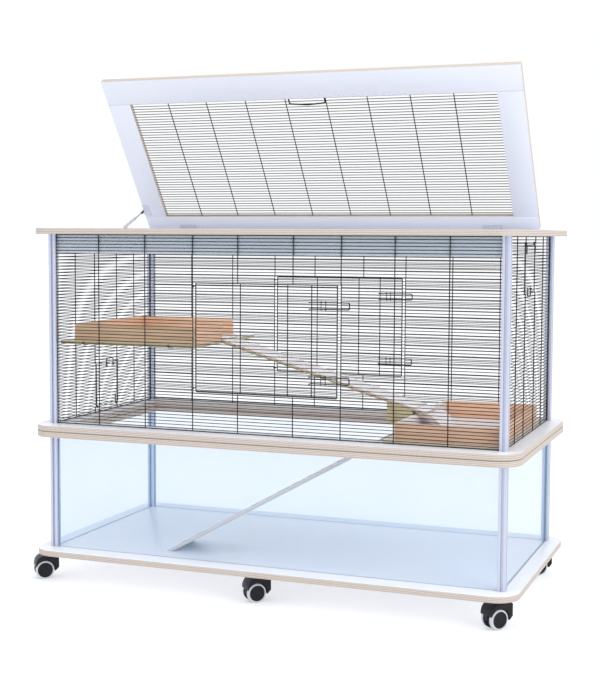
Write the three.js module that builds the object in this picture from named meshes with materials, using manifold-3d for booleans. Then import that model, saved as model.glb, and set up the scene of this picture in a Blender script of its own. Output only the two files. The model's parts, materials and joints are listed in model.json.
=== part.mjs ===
// Small-animal cage on casters: a glazed lower room, a wire upper room, a lifting wire lid,
// doors and flaps on wire hooks, two board levels, two litter boxes and two ramps.
// Millimetres, +X right, +Y back, +Z up. The origin lies on the ground, at the middle of the
// part's outline seen from above.
import * as THREE from "three";
import { mergeVertices } from "three/addons/utils/BufferGeometryUtils.js";
import Module from "manifold-3d";

const wasm = await Module();
wasm.setup();

// ---------------------------------------------------------------- driving dimensions
// Clearances
const seatGap = 0.3; // between a piece and what carries it in a turned group
const runningGap = 0.4; // around a pin, a wire or a wheel that turns
const grooveGap = 0.5; // each side of a pane or panel in its groove

// Plates: birch plywood with rounded corners
const plateLength = 1300;
const plateWidth = 680;
const plateThickness = 15;
const plateCornerRadius = 60;
const plateUndersideHeight = 75; // base plate's underside above the ground
const floorRim = { end: 81.5, side: 105 }; // widths of the ring round the floor opening
const topRim = { end: 110, front: 115, back: 150 }; // and round the top one

// Posts: grooved aluminium
const postSize = 20;
const postInset = { x: 43, y: 60 }; // post's middle from the plate's edges
const lowerPostLength = 303.5;
const upperPostLength = 504;
const grooveDepth = 5;

// Glass and header
const glassThickness = 5;
const headerHeight = 50;
const headerThickness = 12;

// Wire panels
const rowWire = 2; // lengthwise wires, in one sheet
const uprightWire = 2.4; // cross wires, in a layer outside the rows
const uprightWidth = 3;
const layerGap = 0.3;
const weldInset = 0.2; // keeps the faces of welded pieces out of one plane
const frameWire = 4; // border of a panel
const rowPitch = 8.4;
const rowPhase = -1.3; // height of row 0 over the cage floor
const rowStep = 2; // every second row is a solid here
const panelThickness = rowWire + layerGap + uprightWire;
const wallUprights = [336, 471]; // each side of the middle, full height
const doorUprights = [74.5, 200]; // broken by the doorway
const sideUprights = [168];
const flapUprights = [63];

// Doors, in the front and back walls
const doorFrameWire = 3.5;
const doorSill = { row: 12, inset: 4 };
const doorHead = { row: 46, inset: 4 };
const doorLeftGap = 9; // doorway's side wire to the door's own, hinge side
const doorRightGap = 10;
const doorCrossWires = [-67, 60.5, 124];
const hookWire = 2.4;
const latchWire = 3;
const doorLatchRows = [
  { name: "lower", row: 16 },
  { name: "upper", row: 38 },
];
const doorLatchLegs = [0.5, 2.5]; // rows over the latch's first row
const doorHookRows = 1.5; // hook eyes in from the doorway's edge rows
const doorLatchReach = 22; // past the doorway's side wire
const doorLatchLength = 103;
const latchPull = 8; // finger ends in front of the rows
const keeperPlate = { width: 14, thickness: 1.2, setback: 33 };

// Flaps, in the side walls
const flapRows = 15;
const leftFlapRow = 2;
const rightFlapRowsToTop = 2; // whole rows over the right flap's opening
const flapInset = 5;
const flapSideInset = 5;
const flapHookInset = 15; // hook eyes in from the opening's side wires
const flapLatch = { width: 40, offset: 12, above: 8, below: 14 };
const flapKeeper = { setback: 1.7, height: 3.2, foot: 2 };

// Lid
const lidOpenAngle = 54.09; // degrees
const lidEndMargin = 63.5; // plate's end beyond the lid
const lidDepth = 498;
const lidThickness = 15;
const lidBackMargin = 109.4; // plate's back edge behind the closed lid
const lidBackRail = 43;
const lidFrontRail = 74;
const lidStile = 67.5;
const lidJointGroove = { width: 1, depth: 0.6 };
const lidCrossWires = [57.3, 173, 289.5, 405];
const lidGrooveDepth = 6;
const barrelSetback = 3; // hinge axis behind the lid's back edge

// Lid hinges
const hingeEndMargin = 103; // lid's end beyond the hinge
const hingeLength = 51.5;
const hingeLeafDepth = 14;
const leafThickness = 1.2;
const barrelRadius = 2.5;
const hingePinRadius = 1;
const outerKnuckle = 15;

// Lid handle: a wire bail in two ears
const handleWire = 4;
const handleSpan = 102;
const handleDrop = 33;
const handleBow = 4;
const handleInset = 4; // pivot line on the rail, from its inner edge
const handleRise = 2.7; // pivot line over the lid's face
const earSize = { width: 4, depth: 7, height: 5.6, gap: 1 };

// Gas strut, at the left
const strutBaseY = 86;
const strutPivotHeight = 6.5; // both pivots over the top plate when the lid is shut
const strutLidReach = 61; // lid pivot from the hinge axis
const strutEye = { radius: 4.5, width: 5, pinRadius: 2 };
const strutCylinderLength = 72;
const strutCylinderRadius = 4;
const strutRodRadius = 2;
const strutRodInside = 12; // rod left in the cylinder when it is drawn out
const strutBracketThickness = 1.2;
const strutClearX = 2.2; // lid's side edge to the strut's bracket layer
const lidBracket = { back: 49, length: 36, foot: 22 };

// Upper level
const shelfRight = -203;
const shelfBack = 130;
const shelfUnderside = 213.6; // over the cage floor
const shelfThickness = 8;
const boardEdgeGap = 12; // board edge to the panels' middle plane
const hookTab = { width: 10, thickness: 2.6, lip: 1.5, drop: 6 };
const shelfTabs = { fromEnd: 75, fromRamp: 67, fromBack: [110, 240] }; // to tab middles
const upperBox = { endGap: 43, backGap: 15, height: 45, wall: 10, sideEnd: -90, rampGap: 57 };

// Lower level
const lowerBoardLeft = 306;
const lowerBoardThickness = 8;
const lowerBox = { rampGap: 28, endGap: 5, backGap: 56, height: 42, wall: 10 };

// Ramps
const rampThickness = 9;
const rungPitch = 45;
const rungSize = { width: 8, height: 3 };
const upperRamp = { front: -95, back: 8, slope: 0.2938, lip: 22, lipThickness: 3, over: 22 };
// The ramp ends on a bent landing board: heights over the cage floor, distances from the wall.
const landing = { back: 35, top: 51.5, bend: [34, 49], foot: 80, under: [44, 26, 40.5, 66] };
const rampBlock = { before: 44, over: 24, width: 60, lift: 12.5 }; // about the board's edge
const lowerRamp = { front: -222, back: -93.5, slope: 0.5627 };

// Casters: twin wheels under a hood
const casterInset = { left: 25, right: 43, side: 73 }; // swivels from the plate's edges
const middleCasterShift = -9;
const frontCasterTurns = [40, 44, 50]; // degrees that the trail swings toward the front
const backCasterTurns = [50, 44, 40];
const wheelRadius = 25;
const wheelBevel = 2.5;
const wheelSides = 20;
const casterHalfWidth = 22;
const webHalfWidth = 4.2;
const axleRadius = 3;
const casterTrail = 24;
const wheelGap = 1.5;
const hood = { height: 63, front: 13, skirt: 22, chamfer: 9, crownEnd: 22, crownDrop: 14 };
const stemRadius = 12;

// ---------------------------------------------------------------- heights from the ground
const plateTop = plateUndersideHeight + plateThickness;
const rimUnderside = plateTop + lowerPostLength;
const floorUnderside = rimUnderside + plateThickness;
const cageFloor = floorUnderside + plateThickness;
const topUnderside = cageFloor + upperPostLength;
const topFace = topUnderside + plateThickness;

// ---------------------------------------------------------------- rows and distances that follow
const topRow = Math.floor((upperPostLength - rowPhase) / rowPitch);
const rightFlapRow = topRow - rightFlapRowsToTop - flapRows;
const plateX = plateLength / 2;
const plateY = plateWidth / 2;
const postX = plateX - postInset.x;
const postY = plateY - postInset.y;
const floorHalfLength = plateX - floorRim.end;
const floorHalfWidth = plateY - floorRim.side;
const lidHalf = plateX - lidEndMargin;
const lidBackEdge = plateY - lidBackMargin;
const casterX = [casterInset.left - plateX, middleCasterShift, plateX - casterInset.right];
const casterY = plateY - casterInset.side;

// ---------------------------------------------------------------- materials
const finishes = {
  plywood: { color: 0xe6e2dc, roughness: 0.55, metalness: 0 },
  laminate: { color: 0xf2f3f5, roughness: 0.45, metalness: 0 },
  pine: { color: 0xdcb88f, roughness: 0.6, metalness: 0 },
  aluminium: { color: 0xc3ccd6, roughness: 0.4, metalness: 0.9 },
  blackWire: { color: 0x3b3c40, roughness: 0.45, metalness: 0.5 },
  steel: { color: 0xb9bcc0, roughness: 0.3, metalness: 1 },
  blackPlastic: { color: 0x1c1d1f, roughness: 0.45, metalness: 0 },
  tread: { color: 0xb4b6b8, roughness: 0.6, metalness: 0 },
  glass: { color: 0xe4eff8, roughness: 0.05, metalness: 0, transparent: true, opacity: 0.3 },
};

// ---------------------------------------------------------------- shape helpers
const radians = THREE.MathUtils.degToRad;

function solidOf(geometry) {
  geometry.deleteAttribute("normal");
  geometry.deleteAttribute("uv");
  const merged = mergeVertices(geometry, 1e-4);
  return new wasm.Manifold(
    new wasm.Mesh({
      numProp: 3,
      vertProperties: new Float32Array(merged.attributes.position.array),
      triVerts: new Uint32Array(merged.index.array),
    }),
  );
}

function meshOf(name, solid, finish) {
  const body = solid.getMesh();
  const geometry = new THREE.BufferGeometry();
  geometry.setAttribute("position", new THREE.BufferAttribute(body.vertProperties, 3));
  geometry.setIndex(new THREE.BufferAttribute(body.triVerts, 1));
  geometry.computeVertexNormals();
  const mesh = new THREE.Mesh(geometry, new THREE.MeshStandardMaterial(finishes[finish]));
  mesh.name = name;
  return mesh;
}

function join(solids) {
  return solids.reduce((whole, solid) => whole.add(solid));
}

// A block between two opposite corners. Each vertex takes its corner's own numbers, so
// that faces which should lie in one plane do.
function block(low, high) {
  const geometry = new THREE.BoxGeometry(1, 1, 1);
  const position = geometry.attributes.position;
  for (let i = 0; i < position.count; i += 1) {
    for (let axis = 0; axis < 3; axis += 1) {
      const end = position.getComponent(i, axis) < 0 ? low : high;
      position.setComponent(i, axis, end[axis]);
    }
  }
  return solidOf(geometry);
}

// A shape in the XY plane, extruded from z0 to z1.
function prism(shape, z0, z1, curveSegments = 8) {
  const geometry = new THREE.ExtrudeGeometry(shape, {
    depth: 1,
    bevelEnabled: false,
    curveSegments,
  });
  const position = geometry.attributes.position;
  for (let i = 0; i < position.count; i += 1) {
    position.setZ(i, position.getZ(i) < 0.5 ? z0 : z1);
  }
  return solidOf(geometry);
}

// A shape drawn in the XZ plane, extruded along Y from y0 to y1.
function prismAlongY(shape, y0, y1) {
  const geometry = new THREE.ExtrudeGeometry(shape, { depth: y1 - y0, bevelEnabled: false });
  geometry.rotateX(Math.PI / 2);
  geometry.translate(0, y1, 0);
  return solidOf(geometry);
}

// A round bar between two points.
function rod(start, end, radius, sides = 10) {
  const from = new THREE.Vector3(...start);
  const to = new THREE.Vector3(...end);
  const length = from.distanceTo(to);
  const geometry = new THREE.CylinderGeometry(radius, radius, length, sides);
  const direction = to.clone().sub(from).normalize();
  geometry.applyQuaternion(
    new THREE.Quaternion().setFromUnitVectors(new THREE.Vector3(0, 1, 0), direction),
  );
  const middle = from.add(to).multiplyScalar(0.5);
  geometry.translate(middle.x, middle.y, middle.z);
  return solidOf(geometry);
}

function rectangle(Outline, x0, y0, x1, y1) {
  const outline = new Outline();
  outline.moveTo(x0, y0);
  outline.lineTo(x1, y0);
  outline.lineTo(x1, y1);
  outline.lineTo(x0, y1);
  outline.closePath();
  return outline;
}

function polygon(points) {
  return new THREE.Shape(points.map(([x, y]) => new THREE.Vector2(x, y)));
}

// A curve through the vertices of a bent wire, one step for each vertex.
class BentWire extends THREE.Curve {
  constructor(corners, bendRadius) {
    super();
    this.vertices = BentWire.roundedCorners(corners, bendRadius);
  }

  static roundedCorners(corners, bendRadius) {
    const points = corners.map((corner) => new THREE.Vector3(...corner));
    const vertices = [points[0]];
    for (let i = 1; i < points.length - 1; i += 1) {
      const entry = points[i].clone().sub(points[i - 1]).setLength(bendRadius);
      const exit = points[i + 1].clone().sub(points[i]).setLength(bendRadius);
      const bend = new THREE.QuadraticBezierCurve3(
        points[i].clone().sub(entry),
        points[i],
        points[i].clone().add(exit),
      );
      vertices.push(...bend.getPoints(3));
    }
    vertices.push(points[points.length - 1]);
    return vertices;
  }

  getPoint(t, target = new THREE.Vector3()) {
    const place = t * (this.vertices.length - 1);
    const index = Math.min(Math.floor(place), this.vertices.length - 2);
    return target.lerpVectors(this.vertices[index], this.vertices[index + 1], place - index);
  }

  getPointAt(u, target) {
    return this.getPoint(u, target);
  }

  getTangentAt(u, target = new THREE.Vector3()) {
    const index = Math.round(u * (this.vertices.length - 1));
    const before = this.vertices[Math.max(index - 1, 0)];
    const after = this.vertices[Math.min(index + 1, this.vertices.length - 1)];
    return target.copy(after).sub(before).normalize();
  }
}

function bentWireSolid(corners, diameter, bendRadius) {
  const path = new BentWire(corners, bendRadius);
  const section = new THREE.Shape();
  section.absarc(0, 0, diameter / 2, 0, Math.PI * 2);
  return solidOf(
    new THREE.ExtrudeGeometry(section, {
      steps: path.vertices.length - 1,
      extrudePath: path,
      curveSegments: 4,
    }),
  );
}

// ---------------------------------------------------------------- plates
function roundedPlate(holeOutline) {
  const x = plateX;
  const y = plateY;
  const r = plateCornerRadius;
  const outline = new THREE.Shape();
  outline.absarc(x - r, -y + r, r, -Math.PI / 2, 0);
  outline.absarc(x - r, y - r, r, 0, Math.PI / 2);
  outline.absarc(-x + r, y - r, r, Math.PI / 2, Math.PI);
  outline.absarc(-x + r, -y + r, r, Math.PI, Math.PI * 1.5);
  outline.closePath();
  if (holeOutline) outline.holes.push(holeOutline);
  return prism(outline, 0, plateThickness);
}

function placed(mesh, x, y, z) {
  mesh.position.set(x, y, z);
  return mesh;
}

function plates() {
  const floorHole = () =>
    rectangle(THREE.Path, -floorHalfLength, -floorHalfWidth, floorHalfLength, floorHalfWidth);
  const topHole = rectangle(
    THREE.Path, topRim.end - plateX, topRim.front - plateY, plateX - topRim.end,
    plateY - topRim.back,
  );
  const hingeRecesses = [-1, 1].map((side) => plateHingeRecess(side));
  const topRing = hingeRecesses.reduce((ring, cut) => ring.subtract(cut), roundedPlate(topHole));
  return [
    placed(meshOf("base_plate", roundedPlate(), "plywood"), 0, 0, plateUndersideHeight),
    placed(meshOf("lower_rim_plate", roundedPlate(floorHole()), "plywood"), 0, 0, rimUnderside),
    placed(meshOf("cage_floor_plate", roundedPlate(floorHole()), "plywood"), 0, 0, floorUnderside),
    placed(meshOf("top_frame_plate", topRing, "plywood"), 0, 0, topUnderside),
  ];
}

function headerBoard() {
  const halfLength = postX - postSize / 2 - seatGap;
  const front = -postY + panelThickness / 2 + 2 * seatGap;
  const board = block(
    [-halfLength, front, topUnderside - headerHeight],
    [halfLength, front + headerThickness, topUnderside],
  );
  return meshOf("front_header_board", board, "laminate");
}

// ---------------------------------------------------------------- posts and glass
function groovedPost(length) {
  const half = postSize / 2;
  const mouth = glassThickness / 2 + grooveGap;
  const floor = half - grooveDepth;
  const corners = [];
  for (let side = 0; side < 4; side += 1) {
    const turn = (side * Math.PI) / 2;
    for (const [out, along] of [[half, -half], [half, -mouth], [floor, -mouth], [floor, mouth],
      [half, mouth]]) {
      corners.push([
        out * Math.cos(turn) - along * Math.sin(turn),
        out * Math.sin(turn) + along * Math.cos(turn),
      ]);
    }
  }
  return prism(polygon(corners), 0, length);
}

function posts() {
  const tiers = [
    { tier: "lower", foot: plateTop, length: lowerPostLength },
    { tier: "upper", foot: cageFloor, length: upperPostLength },
  ];
  const rows = [["front", -postY], ["back", postY]];
  const sides = [["left", -postX], ["right", postX]];
  return tiers.flatMap(({ tier, foot, length }) =>
    rows.flatMap(([row, y]) =>
      sides.map(([side, x]) =>
        placed(meshOf(`${tier}_post_${row}_${side}`, groovedPost(length), "aluminium"), x, y, foot),
      ),
    ),
  );
}

// Half the width of what fits between two posts and into their grooves.
function panelReach(postDistance) {
  return postDistance - postSize / 2 + grooveDepth - grooveGap;
}

function glassPanes() {
  const half = glassThickness / 2;
  const long = panelReach(postX);
  const short = panelReach(postY);
  const lengthwise = block([-long, -half, 0], [long, half, lowerPostLength]);
  const crosswise = block([-half, -short, 0], [half, short, lowerPostLength]);
  return [
    placed(meshOf("front_glass", lengthwise, "glass"), 0, -postY, plateTop),
    placed(meshOf("back_glass", lengthwise, "glass"), 0, postY, plateTop),
    placed(meshOf("left_glass", crosswise, "glass"), -postX, 0, plateTop),
    placed(meshOf("right_glass", crosswise, "glass"), postX, 0, plateTop),
  ];
}

// ---------------------------------------------------------------- wire panels
// A panel is drawn standing up: x across, y up from the cage floor, z toward the outside,
// or away from it where outward is -1. Its rows are one slotted sheet, and its cross wires
// lie in a second layer outside the rows, held by the border or by the row that they end on.
const rowsBack = -panelThickness / 2;
const rowsFront = rowsBack + rowWire;
const uprightsBack = rowsFront + layerGap;
const uprightsFront = panelThickness / 2;

function layer(outward, z0, z1) {
  return outward > 0 ? [z0, z1] : [-z1, -z0];
}

function slab(outward, x0, y0, x1, y1, z0, z1) {
  const [back, front] = layer(outward, z0, z1);
  return block([x0, y0, back], [x1, y1, front]);
}

function rowHeight(row) {
  return rowPhase + rowPitch * row;
}

// Bands of metal from bottom to top: the border, each row between, the border.
function rowBands(bottom, top, border, heightOf, edgeRows = []) {
  const bands = [[bottom, bottom + border]];
  for (let row = 1; heightOf(row) + rowWire < top - border; row += 1) {
    const height = heightOf(row);
    const kept = row % rowStep === 0 || edgeRows.includes(row);
    if (kept && height - rowWire > bottom + border) {
      bands.push([height - rowWire / 2, height + rowWire / 2]);
    }
  }
  bands.push([top - border, top]);
  return bands;
}

function slottedSheet(outward, outer, bands, border) {
  const sheet = rectangle(THREE.Shape, outer.left, bands[0][0], outer.right, bands.at(-1)[1]);
  for (let i = 0; i < bands.length - 1; i += 1) {
    sheet.holes.push(
      rectangle(THREE.Path, outer.left + border, bands[i][1], outer.right - border, bands[i + 1][0]),
    );
  }
  return prism(sheet, ...layer(outward, rowsBack, rowsFront));
}

// Takes the rows out of a doorway and puts the doorway's two side wires in.
function cutDoorway(outward, sheet, doorway) {
  const { side, low, high } = doorway;
  const opening = slab(outward, -side, low + rowWire, side, high - rowWire, rowsBack - 1,
    rowsFront + 1);
  const half = uprightWidth / 2;
  const sides = [-side, side].map((x) =>
    slab(outward, x - half, low - rowWire / 2 + weldInset, x + half, high + rowWire / 2 - weldInset,
      rowsBack - weldInset / 2, rowsFront + weldInset / 2),
  );
  return join([sheet.subtract(opening), ...sides]);
}

function upright(outward, x, bottom, top) {
  const half = uprightWidth / 2;
  return slab(outward, x - half, bottom + 2 * weldInset, x + half, top - 2 * weldInset,
    uprightsBack, uprightsFront - weldInset);
}

// The cross bar that carries the cross wires' ends on the border of the row sheet.
function borderBar(outward, left, right, low, high) {
  return slab(outward, left + weldInset, low + weldInset, right - weldInset, high - weldInset,
    rowsBack + weldInset, uprightsFront);
}

// The short bridge that ties a cross wire's end to the row that it stops at.
function bridge(outward, x, height) {
  const half = uprightWidth / 2 - weldInset;
  const reach = rowWire / 2 - weldInset;
  return slab(outward, x - half, height - reach, x + half, height + reach, rowsBack + weldInset,
    uprightsFront - 2 * weldInset);
}

function wallPanel(outward, postDistance, fullUprights, brokenUprights, doorwayRows) {
  const reach = panelReach(postDistance);
  const outer = { left: -reach, right: reach };
  const bottom = seatGap;
  const top = upperPostLength - seatGap;
  const side = Math.max(...brokenUprights);
  const low = rowHeight(doorwayRows[0]);
  const high = rowHeight(doorwayRows[1]);
  const bands = rowBands(bottom, top, frameWire, rowHeight, doorwayRows);
  const sheet = slottedSheet(outward, outer, bands, frameWire);
  const pieces = [cutDoorway(outward, sheet, { side, low, high })];
  for (const y of [bottom, top - frameWire]) {
    pieces.push(borderBar(outward, -reach, reach, y, y + frameWire));
  }
  for (const x of fullUprights.flatMap((value) => [-value, value])) {
    pieces.push(upright(outward, x, bottom, top));
  }
  for (const x of brokenUprights.flatMap((value) => [-value, value])) {
    pieces.push(upright(outward, x, bottom, low + rowWire / 2), bridge(outward, x, low));
    pieces.push(upright(outward, x, high - rowWire / 2, top), bridge(outward, x, high));
  }
  return join(pieces);
}

// ---------------------------------------------------------------- doors and flaps
// A leaf is drawn in its wall's own coordinates.
function leafPanel(outward, outline, crossWires, hooks) {
  const border = doorFrameWire;
  const bands = rowBands(outline.bottom, outline.top, border, rowHeight);
  const pieces = [slottedSheet(outward, outline, bands, border)];
  for (const y of [outline.bottom, outline.top - border]) {
    pieces.push(borderBar(outward, outline.left, outline.right, y, y + border));
  }
  for (const x of crossWires) pieces.push(upright(outward, x, outline.bottom, outline.top));
  pieces.push(...hooks);
  return join(pieces);
}

// A flat eye round a wire of the given half sizes, with an arm back to the leaf.
// The wire runs along y (up) where vertical is true, and along x where it is not.
function hookEye(outward, centre, arm, vertical) {
  const rowsMiddle = outward * (rowsBack + rowWire / 2);
  const bore = Math.hypot(uprightWidth, rowWire) / 2 + runningGap;
  const ring = new THREE.Shape();
  ring.absarc(0, 0, bore + hookWire, 0, Math.PI * 2);
  const hole = new THREE.Path();
  hole.absarc(0, 0, bore, 0, Math.PI * 2);
  ring.holes.push(hole);
  const geometry = new THREE.ExtrudeGeometry(ring, {
    depth: hookWire,
    bevelEnabled: false,
    curveSegments: 5,
  });
  geometry.translate(0, 0, -hookWire / 2);
  if (vertical) geometry.rotateX(Math.PI / 2);
  else geometry.rotateY(Math.PI / 2);
  geometry.translate(centre[0], centre[1], rowsMiddle);
  const thick = hookWire / 2 - weldInset;
  const half = rowWire / 2 - weldInset;
  const near = bore + hookWire / 2;
  const armSolid = vertical
    ? block([centre[0] + near, centre[1] - thick, rowsMiddle - half],
      [centre[0] + arm, centre[1] + thick, rowsMiddle + half])
    : block([centre[0] - thick, Math.min(centre[1] + Math.sign(arm) * near, centre[1] + arm),
      rowsMiddle - half],
    [centre[0] + thick, Math.max(centre[1] + Math.sign(arm) * near, centre[1] + arm),
      rowsMiddle + half]);
  return solidOf(geometry).add(armSolid);
}

const doorOutline = {
  left: -Math.max(...doorUprights) + doorLeftGap - doorFrameWire / 2,
  right: Math.max(...doorUprights) - doorRightGap + doorFrameWire / 2,
  bottom: rowHeight(doorSill.row) + doorSill.inset - doorFrameWire / 2,
  top: rowHeight(doorHead.row) - doorHead.inset + doorFrameWire / 2,
};
// Distance from the panel's middle plane to the middle of a latch wire inside the rows.
const latchDepth = -rowsBack + seatGap + latchWire / 2;

// A strap inside the rows that keeps a latch's two legs against the leaf.
function keeper(outward, x0, x1, y0, y1) {
  const strapFront = -latchDepth - latchWire / 2 - seatGap;
  const strapBack = strapFront - keeperPlate.thickness;
  const foot = rowWire / 2 - weldInset;
  const feet = [y0, y1].map((y) =>
    slab(outward, x0 + weldInset, y - foot, x1 - weldInset, y + foot, strapBack + weldInset,
      rowsFront - weldInset),
  );
  return join([slab(outward, x0, y0 - rowWire / 2, x1, y1 + rowWire / 2, strapBack, strapFront),
    ...feet]);
}

function doorLeaf(outward) {
  const hingeX = -Math.max(...doorUprights);
  const reach = doorOutline.left + doorFrameWire / 2 - hingeX;
  const hooks = [doorSill.row + doorHookRows, doorHead.row - doorHookRows].map((row) =>
    hookEye(outward, [hingeX, rowHeight(row)], reach, true),
  );
  const keeperRight = doorOutline.right - keeperPlate.setback;
  const keepers = doorLatchRows.map(({ row }) =>
    keeper(outward, keeperRight - keeperPlate.width, keeperRight, rowHeight(row),
      rowHeight(row + 2 * rowStep)),
  );
  return leafPanel(outward, doorOutline, doorCrossWires, [...hooks, ...keepers]);
}

// A U of wire inside the rows, with both ends bent out between the rows as finger pulls.
function doorLatch(outward, row) {
  const legs = doorLatchLegs.map((rows) => rowHeight(row + rows));
  const tip = Math.max(...doorUprights) + doorLatchReach - latchWire / 2;
  const tail = tip - doorLatchLength + latchWire;
  const depth = -outward * latchDepth;
  const pull = outward * (uprightsFront + latchPull);
  return bentWireSolid(
    [[tail, legs[0], pull], [tail, legs[0], depth], [tip, legs[0], depth],
      [tip, legs[1], depth], [tail, legs[1], depth], [tail, legs[1], pull]],
    latchWire,
    latchWire,
  );
}

// The flap hangs on its opening's edge row: hingeSide is -1 where that row is below it.
// Its latch stands toward the back, which is latchSide along the wall.
function flapLeaf(firstRow, hingeSide, latchSide) {
  const sideX = Math.max(...flapUprights);
  const outline = {
    left: -sideX + flapSideInset - doorFrameWire / 2,
    right: sideX - flapSideInset + doorFrameWire / 2,
    bottom: rowHeight(firstRow) + flapInset - doorFrameWire / 2,
    top: rowHeight(firstRow + flapRows) - flapInset + doorFrameWire / 2,
  };
  const hingeHeight = rowHeight(hingeSide < 0 ? firstRow : firstRow + flapRows);
  const freeHeight = hingeSide < 0 ? outline.top : outline.bottom;
  const arm = -hingeSide * (flapInset + doorFrameWire / 4);
  const hooks = [-1, 1].map((side) =>
    hookEye(1, [side * (sideX - flapHookInset), hingeHeight], arm, false),
  );
  const legs = flapLatchLegs(latchSide);
  const strapNear = freeHeight + hingeSide * flapKeeper.setback;
  const strapLow = hingeSide < 0 ? strapNear - flapKeeper.height : strapNear;
  const strapHigh = strapLow + flapKeeper.height;
  const strapFront = -latchDepth - latchWire / 2 - seatGap;
  const strapBack = strapFront - keeperPlate.thickness;
  const footLeft = legs[0] + latchWire / 2 + seatGap;
  const footRight = legs[1] - latchWire / 2 - seatGap;
  const feet = [footLeft, footRight - flapKeeper.foot].map((x) =>
    slab(1, x, strapLow + weldInset, x + flapKeeper.foot, strapHigh - weldInset,
      strapBack + weldInset, rowsBack + rowWire / 2),
  );
  const strap = join([
    slab(1, legs[0] - latchWire, strapLow, legs[1] + latchWire, strapHigh, strapBack, strapFront),
    ...feet,
  ]);
  return leafPanel(1, outline, [], [...hooks, strap]);
}

function flapLatchLegs(latchSide) {
  const half = (flapLatch.width - latchWire) / 2;
  const middle = latchSide * flapLatch.offset;
  return [middle - half, middle + half];
}

// A U of wire inside the rows of a flap and of the wall beyond its free edge.
function flapLatchWire(firstRow, hingeSide, latchSide) {
  const edge = rowHeight(hingeSide < 0 ? firstRow + flapRows : firstRow);
  const [left, right] = flapLatchLegs(latchSide);
  const near = edge + hingeSide * flapLatch.below;
  const far = edge - hingeSide * flapLatch.above;
  return bentWireSolid(
    [[left, near, -latchDepth], [left, far, -latchDepth],
      [right, far, -latchDepth], [right, near, -latchDepth]],
    latchWire,
    latchWire,
  );
}

// ---------------------------------------------------------------- walls of the upper room
// Stands a panel up in its wall: turn is the wall's turn about the vertical.
function wall(turn, distance, meshes) {
  const face = new THREE.Group();
  face.rotation.x = Math.PI / 2;
  face.position.set(0, -distance, cageFloor);
  face.add(...meshes);
  const turned = new THREE.Group();
  turned.rotation.z = turn;
  turned.add(face);
  return turned;
}

function doorWall(name, outward) {
  const panel = wallPanel(outward, postX, wallUprights, doorUprights,
    [doorSill.row, doorHead.row]);
  const latches = doorLatchRows.map((latch) =>
    meshOf(`${name}_door_${latch.name}_latch`, doorLatch(outward, latch.row), "blackWire"),
  );
  return wall(0, outward * postY, [
    meshOf(`${name}_grille`, panel, "blackWire"),
    meshOf(`${name}_door`, doorLeaf(outward), "blackWire"),
    ...latches,
  ]);
}

// side is -1 for the left wall and 1 for the right one, whose drawing runs toward the back.
function flapWall(name, side, firstRow, hingeSide) {
  const panel = wallPanel(1, postY, sideUprights, flapUprights,
    [firstRow, firstRow + flapRows]);
  return wall((side * Math.PI) / 2, postX, [
    meshOf(`${name}_grille`, panel, "blackWire"),
    meshOf(`${name}_flap`, flapLeaf(firstRow, hingeSide, side), "blackWire"),
    meshOf(`${name}_flap_latch`, flapLatchWire(firstRow, hingeSide, side), "blackWire"),
  ]);
}

// ---------------------------------------------------------------- lid
// The lid is drawn shut, from its hinge axis: x to the right, -y to the front, z up.
const lidUnder = seatGap;
const lidTop = lidUnder + lidThickness;
const lidBack = -barrelSetback;
const lidFront = lidBack - lidDepth;
const lidHoleHalf = lidHalf - lidStile;
const lidHoleBack = lidBack - lidBackRail;
const lidHoleFront = lidFront + lidFrontRail;
const lidGrooveMiddle = lidUnder + lidThickness / 2;
const leafBottom = lidUnder + 0.2;
const recessTop = leafBottom + leafThickness + seatGap;

function lidFrame() {
  const board = rectangle(THREE.Shape, -lidHalf, lidFront, lidHalf, lidBack);
  board.holes.push(
    rectangle(THREE.Path, -lidHoleHalf, lidHoleFront, lidHoleHalf, lidHoleBack),
  );
  let frame = prism(board, lidUnder, lidTop);
  const cuts = [
    block(
      [-lidHoleHalf - lidGrooveDepth, lidHoleFront - lidGrooveDepth,
        lidGrooveMiddle - panelThickness / 2 - grooveGap],
      [lidHoleHalf + lidGrooveDepth, lidHoleBack + lidGrooveDepth,
        lidGrooveMiddle + panelThickness / 2 + grooveGap],
    ),
    ...jointGrooves(),
    ...[-1, 1].map((side) => lidHingeRecess(side)),
    lidBracketRecess(),
  ];
  for (const cut of cuts) frame = frame.subtract(cut);
  return meshOf("lid_frame", frame.add(join(handleEars())), "laminate");
}

// The lines where a rail meets a stile, on both faces.
function jointGrooves() {
  const { width, depth } = lidJointGroove;
  const grooves = [];
  for (const side of [-1, 1]) {
    const [left, right] = side < 0 ? [-lidHalf - 1, -lidHoleHalf] : [lidHoleHalf, lidHalf + 1];
    for (const y of [lidHoleBack, lidHoleFront]) {
      for (const [z0, z1] of [[lidUnder - 1, lidUnder + depth], [lidTop - depth, lidTop + 1]]) {
        grooves.push(block([left, y - width / 2, z0], [right, y + width / 2, z1]));
      }
    }
  }
  return grooves;
}

function lidGrille() {
  const reach = lidHoleHalf + lidGrooveDepth - grooveGap;
  const back = lidHoleBack + lidGrooveDepth - grooveGap;
  const front = lidHoleFront - lidGrooveDepth + grooveGap;
  const outer = { left: -reach, right: reach };
  const heightOf = (row) => front + rowPitch * row;
  const bands = rowBands(front, back, frameWire, heightOf);
  const pieces = [slottedSheet(1, outer, bands, frameWire)];
  for (const y of [front, back - frameWire]) {
    pieces.push(borderBar(1, -reach, reach, y, y + frameWire));
  }
  for (const x of lidCrossWires.flatMap((value) => [-value, value])) {
    pieces.push(upright(1, x, front, back));
  }
  return placed(meshOf("lid_grille", join(pieces), "blackWire"), 0, 0, lidGrooveMiddle);
}

const handlePivotY = lidHoleFront - handleInset;
const handlePivotZ = lidTop + handleRise;
const handleEnd = handleSpan / 2 + earSize.gap + handleWire / 2;

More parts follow.
